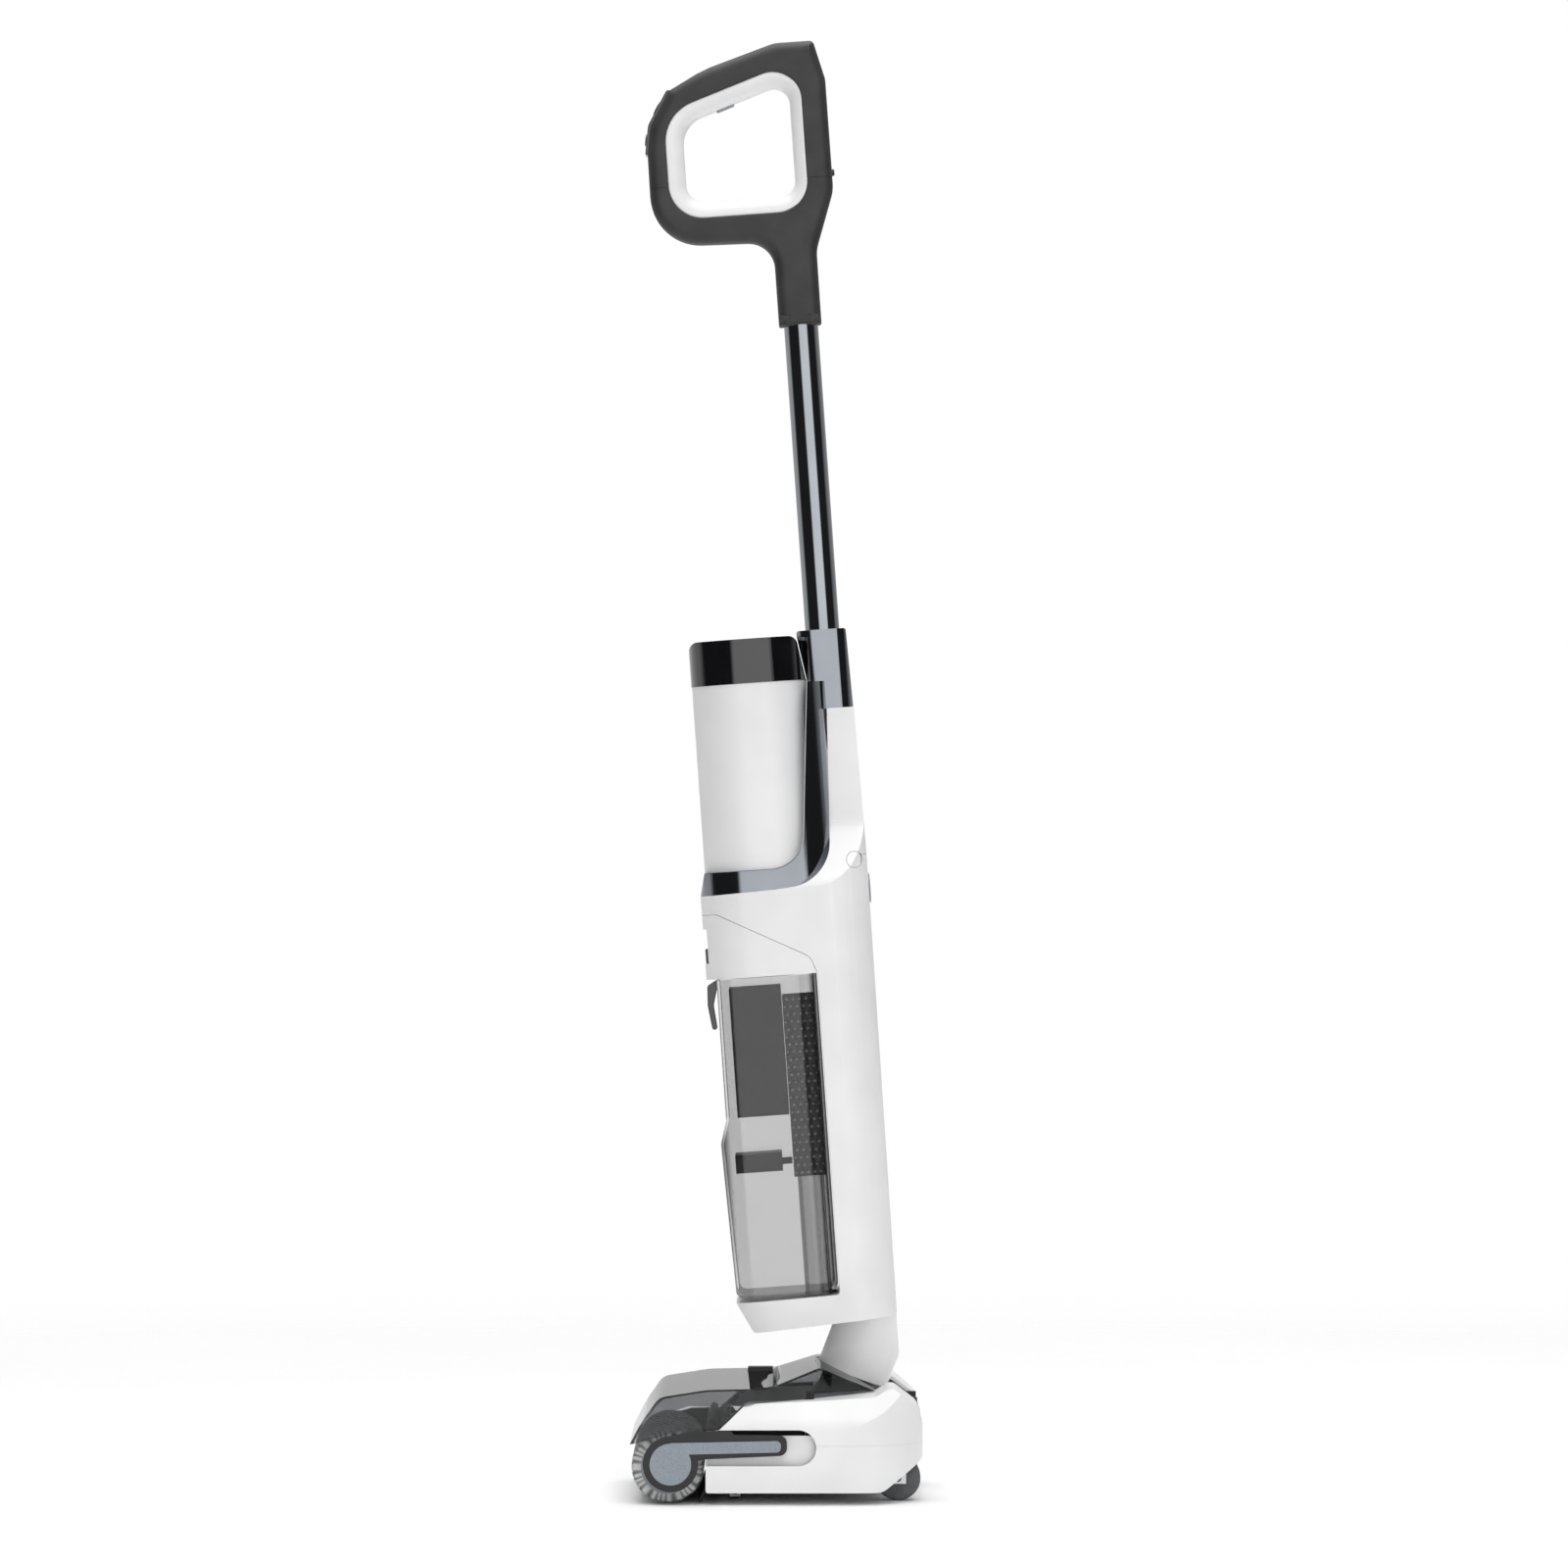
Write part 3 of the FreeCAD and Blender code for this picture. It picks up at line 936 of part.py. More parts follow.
def belt_loop():
    """Flat loop round both pulleys: tangent runs and arcs, from the pulleys' own sizes."""
    flat = []
    for extra in (number("fit * 4"), number("fit * 4 + belt_thick")):
        big = number("pulley_big") + extra
        small = number("pulley_small") + extra
        near = Vector(0, number("roller_y"), number("roller_z"))
        far = Vector(0, number("drive_y"), number("drive_z"))
        reach = far - near
        along = Vector(0, reach.y, reach.z).normalize()
        across = Vector(0, -along.z, along.y)
        sine = (big - small) / reach.Length
        cosine = math.sqrt(1 - sine * sine)
        up = along * sine + across * cosine
        down = along * sine - across * cosine
        path = [Part.LineSegment(near + up * big, far + up * small).toShape(),
                Part.Arc(far + up * small, far + along * small, far + down * small).toShape(),
                Part.LineSegment(far + down * small, near + down * big).toShape(),
                Part.Arc(near + down * big, near - along * big, near + up * big).toShape()]
        flat.append(Part.Face(Part.Wire(path)))
    band = flat[1].cut(flat[0])
    loop = doc.addObject("Part::Feature", "belt")
    width = number("pulley_width") - 0.6
    band.translate(Vector(-number("roller_half + pulley_width + 1.7") + 0.3, 0, 0))
    loop.Shape = band.extrude(Vector(width, 0, 0))
    loop.Placement = Placement()
    return loop


def build_wheels():
    """Two large rear wheels and two small front wheels, each turning with its own short axle."""
    for name in ("rear", "front"):
        radius, width = f"{name}_wheel_radius", f"{name}_wheel_width"
        solids = []
        for side, sign in (("right", ""), ("left", "-")):
            tyre = [("axle_radius", "0", 0), (radius, "0", 2), (radius, width, 2), ("axle_radius", width, 0)]
            middle = f"{sign}{name}_wheel_x"
            solids.append(put(turned(f"{name}_tyre_{side}", tyre), f"{middle} - {width} / 2",
                              f"{name}_wheel_y", radius, ALONG_X))
            solids.append(rod("axle_radius", f"{width} + 11.6", f"{middle} - ({width} + 11.6) / 2",
                              f"{name}_wheel_y", radius, ALONG_X))
        node(f"{name}_wheels", fuse(*solids), "base")


def check_and_write():
    """Recompute, make sure that nothing failed, and write one STEP file for each piece."""
    doc.recompute()
    failed = [one.Name for one in doc.Objects if "Invalid" in one.State or "Error" in one.State]
    if failed:
        raise RuntimeError("failed objects: " + ", ".join(failed))
    for piece in nodes:
        if piece.Shape.isNull() or not piece.Shape.isValid() or piece.Shape.Volume < 1:
            raise RuntimeError("bad shape: " + piece.Label)
    os.makedirs("parts", exist_ok=True)
    for piece in nodes:
        piece.Shape.exportStep(f"parts/{piece.Label}.step")
    print(len(nodes), "pieces written")


fill_sheet()
build_grip()
build_pole()
build_cradle()
build_module()
build_body()
build_clean_tank()
build_dirty_tank()
build_neck()
build_base()
build_cover()
build_roller()
build_wheels()
check_and_write()
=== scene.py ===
"""Looks of an upright wet and dry floor washer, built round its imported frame."""
import json
import math

import bmesh
import bpy
import numpy as np
from bpy.props import FloatProperty, FloatVectorProperty, IntProperty, PointerProperty
from mathutils import Matrix, Vector
from mathutils.geometry import tessellate_polygon


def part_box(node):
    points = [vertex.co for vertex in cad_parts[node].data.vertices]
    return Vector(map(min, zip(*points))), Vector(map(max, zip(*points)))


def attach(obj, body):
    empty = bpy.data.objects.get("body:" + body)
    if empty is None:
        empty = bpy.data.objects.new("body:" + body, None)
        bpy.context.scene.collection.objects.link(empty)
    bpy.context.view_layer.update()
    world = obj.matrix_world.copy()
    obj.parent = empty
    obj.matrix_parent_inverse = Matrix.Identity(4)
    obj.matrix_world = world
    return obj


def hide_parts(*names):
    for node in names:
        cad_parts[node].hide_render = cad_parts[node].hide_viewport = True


bl_info = {
    "name": "Floor washer looks",
    "version": (1, 0, 0),
    "blender": (4, 5, 0),
    "location": "3D View > Sidebar > Washer",
    "description": "Builds the visible pieces, finishes and stage of an upright floor washer",
    "category": "Object",
}

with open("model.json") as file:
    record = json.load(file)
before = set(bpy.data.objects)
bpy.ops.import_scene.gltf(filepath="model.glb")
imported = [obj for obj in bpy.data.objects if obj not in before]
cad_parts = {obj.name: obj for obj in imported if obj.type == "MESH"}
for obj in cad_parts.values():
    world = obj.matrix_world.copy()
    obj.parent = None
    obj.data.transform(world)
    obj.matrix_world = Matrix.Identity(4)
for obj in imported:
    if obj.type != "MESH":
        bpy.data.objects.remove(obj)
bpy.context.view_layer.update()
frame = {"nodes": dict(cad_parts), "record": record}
NODES = frame["nodes"]
MM = 0.001

# The upright's own axes: u = x, v rearward, w up the pole. It leans forward about its low origin.
LEAN = math.radians(4.0)
UPRIGHT_ORIGIN = np.array([0.0, 64.0, 50.0])
# Heights up the pole, in millimetres.
BAY_FLOOR, CAP_SEAM, GRIP_FOOT = 103.5, 568.0, 836.0
GRIP_SEAM = GRIP_FOOT + 111.0

# Loop handle, in millimetres: half its thickness, half the gap at the seam between its casings, half
# the thickness of the lining, and how far the gloss panel stands out of the front.
GRIP_HALF, GRIP_GAP, LINING_HALF, PANEL_PROUD = 17.5, 0.12, 16.6, 1.6

# Pole, in millimetres: radius, how far rearward its axis stands, its end chamfer, and how far it reaches
# into the collar and into the grip.
POLE_RADIUS, POLE_REAR, POLE_CHAMFER, POLE_FOOT, POLE_HEAD = 13.0, 10.7, 0.4, 10.0, 24.0

# Strainer, in millimetres: half its width, its front and rear faces, its height above the bay's floor,
# its wall, its holes' radius and stagger, and its screens' thickness and distance from the wall.
STRAINER_HALF, STRAINER_FRONT, STRAINER_REAR = 30.0, -39.3, -15.2
STRAINER_LOW, STRAINER_HIGH, STRAINER_WALL = BAY_FLOOR + 90.0, BAY_FLOOR + 227.0, 1.2
HOLE_RADIUS, HOLE_STAGGER, SCREEN_THICK, SCREEN_GAP = 1.1, 1.1, 0.4, 0.5
# A plate whose only hole is this small is closed to the eye.
NO_HOLE = 0.001

# Dark parts of the upper base casing, in millimetres: half the width of the roller's opening, half the
# deck's width, the deck's rear edge and lowest height, and the line ahead of which the lip is dark too.
OPENING_HALF, DECK_HALF, DECK_REAR, DECK_LOW, FRONT_LIP = 112.0, 92.5, 26.5, 55.0, -43.5
# The cover's crown: it falls by CROWN_DROP at its sides, fully so CROWN_SPAN above CROWN_LOW.
CROWN_DROP, CROWN_LOW, CROWN_SPAN = 6.0, 56.0, 40.0

# Pile, in millimetres: radius of a tuft's foot, how deep it is rooted, and its distance from the ends.
TUFT_FOOT, TUFT_ROOT, PILE_END = 0.75, 0.2, 0.6
# The sleeve lies this share of a tuft below the pile's surface, and tufts rise by these shares.
SLEEVE_SHARE, RISE_LOW, RISE_HIGH = 0.75, 0.55, 0.75
# Bands round the roller, how far their edges wave, and how often.
BANDS_ROUND, BAND_WAVE, WAVES_ROUND = 30, 0.35, 7

# Stage, in metres and watts: floor, lamp and camera, with the lens that frames the machine from 4.5 m.
FLOOR_SIZE, LAMP_SIZE, LAMP_HEIGHT, LAMP_POWER = 40.0, 3.0, 3.2, 75
CAMERA_AWAY, CAMERA_Y, CAMERA_Z, CAMERA_LENS, LENS_AWAY = 6.5, 0.0034, 0.5383, 136.08, 4.5


# ------------------------------------------------------------------ colour and nodes
def linear(code):
    """An sRGB hex colour as linear red, green, blue."""
    parts = [int(code[i:i + 2], 16) / 255.0 for i in (1, 3, 5)]
    return tuple(c / 12.92 if c <= 0.04045 else ((c + 0.055) / 1.055) ** 2.4 for c in parts)


def add(tree, kind, settings=None, values=None, links=None):
    """One node with its settings, its socket values, and links into its sockets."""
    made = tree.nodes.new(kind)
    for name, value in (settings or {}).items():
        setattr(made, name, value)
    for socket, value in (values or {}).items():
        made.inputs[socket].default_value = value
    for socket, source in (links or {}).items():
        tree.links.new(source, made.inputs[socket])
    return made


def new_material(name, **values):
    """Fresh material with one Principled shader; gives the material, its tree and the shader."""
    made = bpy.data.materials.new(name)
    made.use_nodes = True
    tree = made.node_tree
    shader = tree.nodes["Principled BSDF"]
    for socket, value in values.items():
        shader.inputs[socket.replace("_", " ")].default_value = value
    return made, tree, shader


def fine_bump(tree, shader, grain_mm, strength, depth_mm=0.05, stretch=(1, 1, 1)):
    """Small surface relief from noise whose grain has a real size."""
    place = add(tree, "ShaderNodeTexCoord")
    turn = add(tree, "ShaderNodeMapping", values={"Scale": stretch},
               links={"Vector": place.outputs["Object"]})
    noise = add(tree, "ShaderNodeTexNoise", values={"Scale": 1.0 / (grain_mm * MM), "Detail": 3.0},
                links={"Vector": turn.outputs[0]})
    bump = add(tree, "ShaderNodeBump", values={"Strength": strength, "Distance": depth_mm * MM},
               links={"Height": noise.outputs[0]})
    tree.links.new(bump.outputs[0], shader.inputs["Normal"])
    return noise


def vary(tree, shader, socket, colours, patch_mm, low=0.35, high=0.65):
    """Colour that drifts slightly over patches of a real size."""
    place = add(tree, "ShaderNodeTexCoord")
    noise = add(tree, "ShaderNodeTexNoise", values={"Scale": 1.0 / (patch_mm * MM), "Detail": 2.0},
                links={"Vector": place.outputs["Object"]})
    ramp = add(tree, "ShaderNodeValToRGB", links={"Fac": noise.outputs[0]})
    ramp.color_ramp.elements[0].position, ramp.color_ramp.elements[1].position = low, high
    ramp.color_ramp.elements[0].color = (*colours[0], 1)
    ramp.color_ramp.elements[1].color = (*colours[1], 1)
    tree.links.new(ramp.outputs[0], shader.inputs[socket])


def abs_white_satin():
    """Injection-moulded ABS, satin: soft broad highlights over a barely rippled skin."""
    made, tree, shader = new_material("ABS moulded satin white", Roughness=0.34, IOR=1.53)
    vary(tree, shader, "Base Color", (linear("#EDEDEE"), linear("#F4F4F4")), 60)
    fine_bump(tree, shader, 0.9, 0.06, 0.03)
    return made


def soft_touch_dark():
    """Nylon with a soft-touch coat: dark, almost matt, with a fine even grain."""
    made, tree, shader = new_material("Nylon moulded soft-touch charcoal", Roughness=0.55, IOR=1.5)
    vary(tree, shader, "Base Color", (linear("#2C2C2D"), linear("#353536")), 25)
    fine_bump(tree, shader, 0.5, 0.22, 0.06)
    return made


def polished_steel_tube():
    """Drawn steel tube, nickel and chrome plated: mirror streaks that run along the tube."""
    made, tree, shader = new_material("Steel drawn tube chrome plated", Metallic=1.0, Roughness=0.07)
    vary(tree, shader, "Base Color", (linear("#94989D"), linear("#9DA1A6")), 80)
    fine_bump(tree, shader, 0.25, 0.03, 0.01, (1, 1, 0.02))
    return made


def dark_plated_trim():
    """ABS with dark vacuum plating: a smoky mirror that is a little softer than steel."""
    made, tree, shader = new_material("ABS vacuum plated smoke chrome", Metallic=1.0, Roughness=0.1)
    vary(tree, shader, "Base Color", (linear("#888C92"), linear("#92969C")), 50)
    fine_bump(tree, shader, 1.2, 0.04, 0.02)
    return made


def piano_black():
    """Polycarbonate moulded in a polished tool: deep black under a wet-looking gloss."""
    made, tree, shader = new_material("Polycarbonate polished piano black", Roughness=0.07, IOR=1.58)
    shader.inputs["Coat Weight"].default_value = 0.6
    shader.inputs["Coat Roughness"].default_value = 0.03
    vary(tree, shader, "Base Color", (linear("#08080A"), linear("#101013")), 30)
    fine_bump(tree, shader, 6.0, 0.04, 0.04)
    return made


def inner_black_plastic():
    """Polypropylene moulded black with a light spark-eroded grain."""
    made, tree, shader = new_material("Polypropylene moulded black", Roughness=0.42, IOR=1.49)
    vary(tree, shader, "Base Color", (linear("#18181A"), linear("#202022")), 25)
    fine_bump(tree, shader, 0.9, 0.06, 0.03)
    return made


def clear_plastic(name, centre, edge, gloss_roughness=0.03):
    """Clear moulded plastic wall: light passes straight through, tinted, darker where seen on edge."""
    made = bpy.data.materials.new(name)
    made.use_nodes = True
    tree = made.node_tree
    tree.nodes.clear()
    facing = add(tree, "ShaderNodeLayerWeight", values={"Blend": 0.5})
    ramp = add(tree, "ShaderNodeValToRGB", links={"Fac": facing.outputs["Facing"]})
    ramp.color_ramp.elements[0].color = (*linear(centre), 1)
    ramp.color_ramp.elements[1].color = (*linear(edge), 1)
    ramp.color_ramp.elements[0].position = 0.3
    ramp.color_ramp.elements[1].position = 0.98
    through = add(tree, "ShaderNodeBsdfTransparent", links={"Color": ramp.outputs[0]})
    shine = add(tree, "ShaderNodeBsdfGlossy", values={"Roughness": gloss_roughness})
    steep = add(tree, "ShaderNodeMath", {"operation": "POWER"}, {1: 5.0}, {0: facing.outputs["Facing"]})
    rim = add(tree, "ShaderNodeMath", {"operation": "MULTIPLY_ADD"}, {1: 0.96, 2: 0.04},
              {0: steep.outputs[0]})
    mix = add(tree, "ShaderNodeMixShader",
              links={0: rim.outputs[0], 1: through.outputs[0], 2: shine.outputs[0]})
    out = add(tree, "ShaderNodeOutputMaterial", links={"Surface": mix.outputs[0]})
    out.is_active_output = True
    return made


def smoked_tank_plastic():
    """Smoked SAN of the dirty-water tank."""
    return clear_plastic("SAN moulded smoke grey", "#EDEDED", "#2E2F31")


def clear_cover_plastic():
    """Nearly clear polycarbonate of the roller's cover."""
    return clear_plastic("Polycarbonate moulded clear", "#CFD0D1", "#2A2B2D")


def grey_inlay_plastic():
    """ABS painted in a satin blue-grey with fine metal flake."""
    made, tree, shader = new_material("ABS painted blue grey", Roughness=0.38, Metallic=0.25)
    vary(tree, shader, "Base Color", (linear("#858D96"), linear("#959DA6")), 0.7, 0.4, 0.6)
    fine_bump(tree, shader, 0.4, 0.08, 0.02)
    return made


def black_rubber():
    """TPE rubber, moulded: very dark and dull with soft scuffs."""
    made, tree, shader = new_material("TPE rubber moulded black", Roughness=0.72, IOR=1.5)
    vary(tree, shader, "Base Color", (linear("#161616"), linear("#242424")), 8)
    fine_bump(tree, shader, 0.7, 0.3, 0.08)
    return made


def roller_pile_material():
    """Cut microfibre pile wound in a helix of pale and mid-grey bands, with a soft sheen."""
    made, tree, shader = new_material("Microfibre cut pile striped", Roughness=0.85)
    shader.inputs["Sheen Weight"].default_value = 0.5
    shader.inputs["Sheen Roughness"].default_value = 0.4
    paint = add(tree, "ShaderNodeAttribute", {"attribute_name": "band"})
    ramp = add(tree, "ShaderNodeValToRGB", links={"Fac": paint.outputs["Fac"]})
    ramp.color_ramp.elements[0].position, ramp.color_ramp.elements[1].position = 0.25, 0.7
    ramp.color_ramp.elements[0].color = (*linear("#7F8286"), 1)
    ramp.color_ramp.elements[1].color = (*linear("#EAEAE8"), 1)
    place = add(tree, "ShaderNodeTexCoord")
    noise = add(tree, "ShaderNodeTexNoise", values={"Scale": 1.0 / (1.2 * MM), "Detail": 4.0},
                links={"Vector": place.outputs["Object"]})
    # Sockets 6 and 7 are the two colours of a colour mix, and 2 is its result.
    mix = add(tree, "ShaderNodeMix", {"data_type": "RGBA", "blend_type": "MULTIPLY"},
              {"Factor": 0.35}, {6: ramp.outputs[0], 7: noise.outputs[0]})
    tree.links.new(mix.outputs[2], shader.inputs["Base Color"])
    bump = add(tree, "ShaderNodeBump", values={"Strength": 0.6, "Distance": 0.6 * MM},
               links={"Height": noise.outputs[0]})
    tree.links.new(bump.outputs[0], shader.inputs["Normal"])
    return made


def bare_steel():
    """Steel turned and zinc plated: grey metal with faint turning lines."""
    made, tree, shader = new_material("Steel turned zinc plated", Metallic=1.0, Roughness=0.32)
    vary(tree, shader, "Base Color", (linear("#A5A8AB"), linear("#B9BCBF")), 4)
    fine_bump(tree, shader, 0.3, 0.15, 0.03, (4, 1, 1))
    return made


def board_green():
    """Fibreglass circuit board under green solder mask."""
    made, tree, shader = new_material("Fibreglass board solder mask green", Roughness=0.35)
    vary(tree, shader, "Base Color", (linear("#0F4A26"), linear("#14602F")), 3)
    fine_bump(tree, shader, 1.0, 0.2, 0.05)
    return made


def cell_wrap():
    """PVC shrink sleeve over battery cells."""
    made, tree, shader = new_material("PVC shrink sleeve blue", Roughness=0.25)
    vary(tree, shader, "Base Color", (linear("#1F4E86"), linear("#285C98")), 15)
    fine_bump(tree, shader, 3.0, 0.1, 0.05)
    return made


def filter_paper():
    """Pleated glass-fibre filter paper: off-white, dull and fibrous."""
    made, tree, shader = new_material("Glass fibre paper pleated", Roughness=0.9)
    vary(tree, shader, "Base Color", (linear("#DEDDD6"), linear("#EBEAE4")), 2)
    fine_bump(tree, shader, 0.4, 0.4, 0.1)
    return made


def wheel_plastic():
    """Nylon wheel, dark grey, with a dull tread."""
    made, tree, shader = new_material("Nylon moulded wheel grey", Roughness=0.48)
    vary(tree, shader, "Base Color", (linear("#4A4B4D"), linear("#57585A")), 6)
    fine_bump(tree, shader, 0.6, 0.2, 0.05)
    return made


def fine_screen():
    """Woven polyester screen behind the strainer's holes: a dull pale grey."""
    made, tree, shader = new_material("Polyester woven screen", Roughness=0.8)
    vary(tree, shader, "Base Color", (linear("#B9BBBC"), linear("#C8CACB")), 1.5)
    fine_bump(tree, shader, 0.3, 0.2, 0.03)
    return made


def floor_paint():
    """Pale seamless studio floor, painted board, that fades into the room a few metres out."""
    made, tree, shader = new_material("Studio floor matt white", Roughness=0.95)
    vary(tree, shader, "Base Color", (linear("#F6F6F6"), linear("#FAFAFA")), 900)
    shader.inputs["Specular IOR Level"].default_value = 0.1
    place = add(tree, "ShaderNodeTexCoord")
    away = add(tree, "ShaderNodeVectorMath", {"operation": "LENGTH"}, links={0: place.outputs["Object"]})
    fade = add(tree, "ShaderNodeMapRange", {"interpolation_type": "SMOOTHSTEP"},
               {"From Min": 0.7, "From Max": 2.6, "To Min": 1.0, "To Max": 0.0},
               {"Value": away.outputs["Value"]})
    tree.links.new(fade.outputs[0], shader.inputs["Alpha"])
    return made


MAKERS = {
    "casing_white": abs_white_satin, "grip_dark": soft_touch_dark, "trim_chrome": polished_steel_tube,
    "trim_dark_chrome": dark_plated_trim, "gloss_black": piano_black, "smoked_clear": smoked_tank_plastic,
    "inlay_grey": grey_inlay_plastic, "soft_rubber": black_rubber, "roller_pile": roller_pile_material,
    "steel": bare_steel, "inner_black": inner_black_plastic, "board_green": board_green,
    "cell_wrap": cell_wrap, "filter_paper": filter_paper, "wheel_grey": wheel_plastic,
    "clear_cover": clear_cover_plastic, "screen": fine_screen, "floor": floor_paint,
}
finishes = {}


def finish_of(key):
    """The material of one finish, made the first time it is asked for."""
    if key not in finishes:
        finishes[key] = MAKERS[key]()
    return finishes[key]


def studio_world(strength):
    """Studio all round: a tall soft box beside the camera, pale walls behind, dark flags between."""
    world = bpy.data.worlds.new("studio")
    world.use_nodes = True
    tree = world.node_tree
    tree.nodes.clear()
    place = add(tree, "ShaderNodeTexCoord")
    parts = add(tree, "ShaderNodeSeparateXYZ", links={0: place.outputs["Generated"]})
    turn = add(tree, "ShaderNodeMath", {"operation": "ARCTAN2"},
               links={0: parts.outputs[1], 1: parts.outputs[0]})
    share = add(tree, "ShaderNodeMath", {"operation": "MULTIPLY_ADD"}, {1: 1 / (2 * math.pi), 2: 0.5},
                {0: turn.outputs[0]})
    walls = add(tree, "ShaderNodeValToRGB", links={0: share.outputs[0]})
    stops = ((-180, 0.45), (-104, 0.45), (-90, 0.02), (-22, 0.02), (-14, 0.95), (34, 1.0), (42, 0.02),
             (92, 0.02), (106, 0.22), (180, 0.45))
    set_stops(walls, [(angle / 360 + 0.5, level) for angle, level in stops])
    top = add(tree, "ShaderNodeMapRange", {"interpolation_type": "SMOOTHSTEP"},
              {"From Min": 0.8, "From Max": 0.92, "To Min": 0.0, "To Max": 0.6}, {"Value": parts.outputs[2]})
    light = add(tree, "ShaderNodeMath", {"operation": "MAXIMUM"},
                links={0: walls.outputs[0], 1: top.outputs[0]})
    lit = add(tree, "ShaderNodeBackground", {}, {"Strength": 1.5 * strength}, {"Color": light.outputs[0]})
    seen = add(tree, "ShaderNodeBackground", {},
               {"Color": (*sizes().floor_colour, 1), "Strength": 1.0})
    path = add(tree, "ShaderNodeLightPath")
    mix = add(tree, "ShaderNodeMixShader",
              links={0: path.outputs["Is Camera Ray"], 1: lit.outputs[0], 2: seen.outputs[0]})
    add(tree, "ShaderNodeOutputWorld", links={"Surface": mix.outputs[0]})
    return world


def set_stops(ramp, stops):
    """Fill a colour ramp with (position, grey level) stops."""
    elements = ramp.color_ramp.elements
    while len(elements) < len(stops):
        elements.new(0.5)
    for element, (position, level) in zip(elements, sorted(stops)):
        element.position = position
        element.color = (level, level, level, 1)


# ------------------------------------------------------------------ shapes
def to_row(points):
    """Points of the upright's axes (u, v, w) in millimetres as row-frame metres."""
    u, v, w = np.moveaxis(np.asarray(points, float), -1, 0)
    y = v * math.cos(LEAN) - w * math.sin(LEAN)
    z = v * math.sin(LEAN) + w * math.cos(LEAN)
    return (np.stack([u, y, z], -1) + UPRIGHT_ORIGIN) * MM


def rounded_outline(corners, step_deg=6.0):
    """Closed outline through corners (x, y, radius): straight runs joined by tangent arcs."""
    points = np.array([corner[:2] for corner in corners], float)
    turns = []
    for i, (_, _, radius) in enumerate(corners):
        corner = points[i]
        back = points[i - 1] - corner
        ahead = points[(i + 1) % len(points)] - corner
        back /= np.linalg.norm(back)
        ahead /= np.linalg.norm(ahead)
        if not radius:
            turns.append(corner[None])
            continue
        half = math.acos(np.clip(back @ ahead, -1, 1)) / 2
        middle = corner + (back + ahead) / np.linalg.norm(back + ahead) * (radius / math.sin(half))
        first = corner + back * (radius / math.tan(half)) - middle
        last = corner + ahead * (radius / math.tan(half)) - middle
        start = math.atan2(first[1], first[0])
        sweep = (math.atan2(last[1], last[0]) - start + math.pi) % (2 * math.pi) - math.pi
        count = max(2, int(abs(math.degrees(sweep)) / step_deg) + 1)
        angles = start + sweep * np.linspace(0, 1, count)
        turns.append(middle + radius * np.stack([np.cos(angles), np.sin(angles)], -1))
    return np.concatenate(turns)


def even(loop, spacing):
    """The loop with its long straight runs divided to about one spacing."""
    after = np.roll(loop, -1, 0)
    lengths = np.linalg.norm(after - loop, axis=1)
    pieces = []
    for start, end, length in zip(loop, after, lengths):
        count = max(1, int(round(length / spacing)))
        share = np.arange(count)[:, None] / count
        pieces.append(start + (end - start) * share)
    return np.concatenate(pieces)


def normals_of(loop):
    """Unit normal at each point of a closed loop, to the right of its direction."""
    run = np.roll(loop, -1, 0) - np.roll(loop, 1, 0)
    run /= np.linalg.norm(run, axis=1)[:, None]
    return np.stack([run[:, 1], -run[:, 0]], -1)


def pebble(outer, hole, half, rim, hole_rim=None, steps=6):
    """Rounded slab in the plane of its loops, thick from -half to half.

    Each loop is moved inward by r(1 - cos a) while its height grows by r sin a, so that the rim is a
    quarter ellipse; flat faces close the two sides, with the hole left open.
    """
    vertices, faces, sides = [], [], []
    for loop, (inset, rise), outward in ((outer, rim, 1), (hole, hole_rim or rim, -1)):
        if loop is None:
            continue
        side = normals_of(loop)
        ring_count = 2 * (steps + 1)
        angle = np.linspace(0, math.pi / 2, steps + 1)
        depth = np.concatenate([inset * (1 - np.cos(angle[::-1])), inset * (1 - np.cos(angle))])
        height = np.concatenate([-(half - rise) - rise * np.sin(angle[::-1]),
                                 (half - rise) + rise * np.sin(angle)])
        rings = loop[None] - outward * side[None] * depth[:, None, None]
        levels = np.broadcast_to(height[:, None, None], rings.shape[:2] + (1,))
        points = np.concatenate([levels, rings], -1)
        start = sum(len(part) for part in vertices)
        count = len(loop)
        vertices.append(points.reshape(-1, 3))
        quads = grid_faces(ring_count, count, wrap_columns=True) + start
        faces += (quads if outward > 0 else quads[:, ::-1]).tolist()
        sides.append((start, start + (ring_count - 1) * count, count))
    table = np.concatenate(vertices)
    for level in (0, 1):
        loops = [[Vector((*table[part[level] + i][1:], 0)) for i in range(part[2])] for part in sides]
        index = np.concatenate([part[level] + np.arange(part[2]) for part in sides])
        faces += [[int(index[i]) for i in face] for face in tessellate_polygon(loops)]
    return table, faces


def grid_faces(rows, columns, wrap_rows=False, wrap_columns=False):
    """Quads of a grid of points numbered row by row."""
    row = np.arange(rows if wrap_rows else rows - 1)[:, None]
    column = np.arange(columns if wrap_columns else columns - 1)[None]
    below = (row + 1) % rows
    beside = (column + 1) % columns
    quads = [row * columns + column, row * columns + beside, below * columns + beside,
             below * columns + column]
    return np.stack([quad.ravel() for quad in quads], -1)


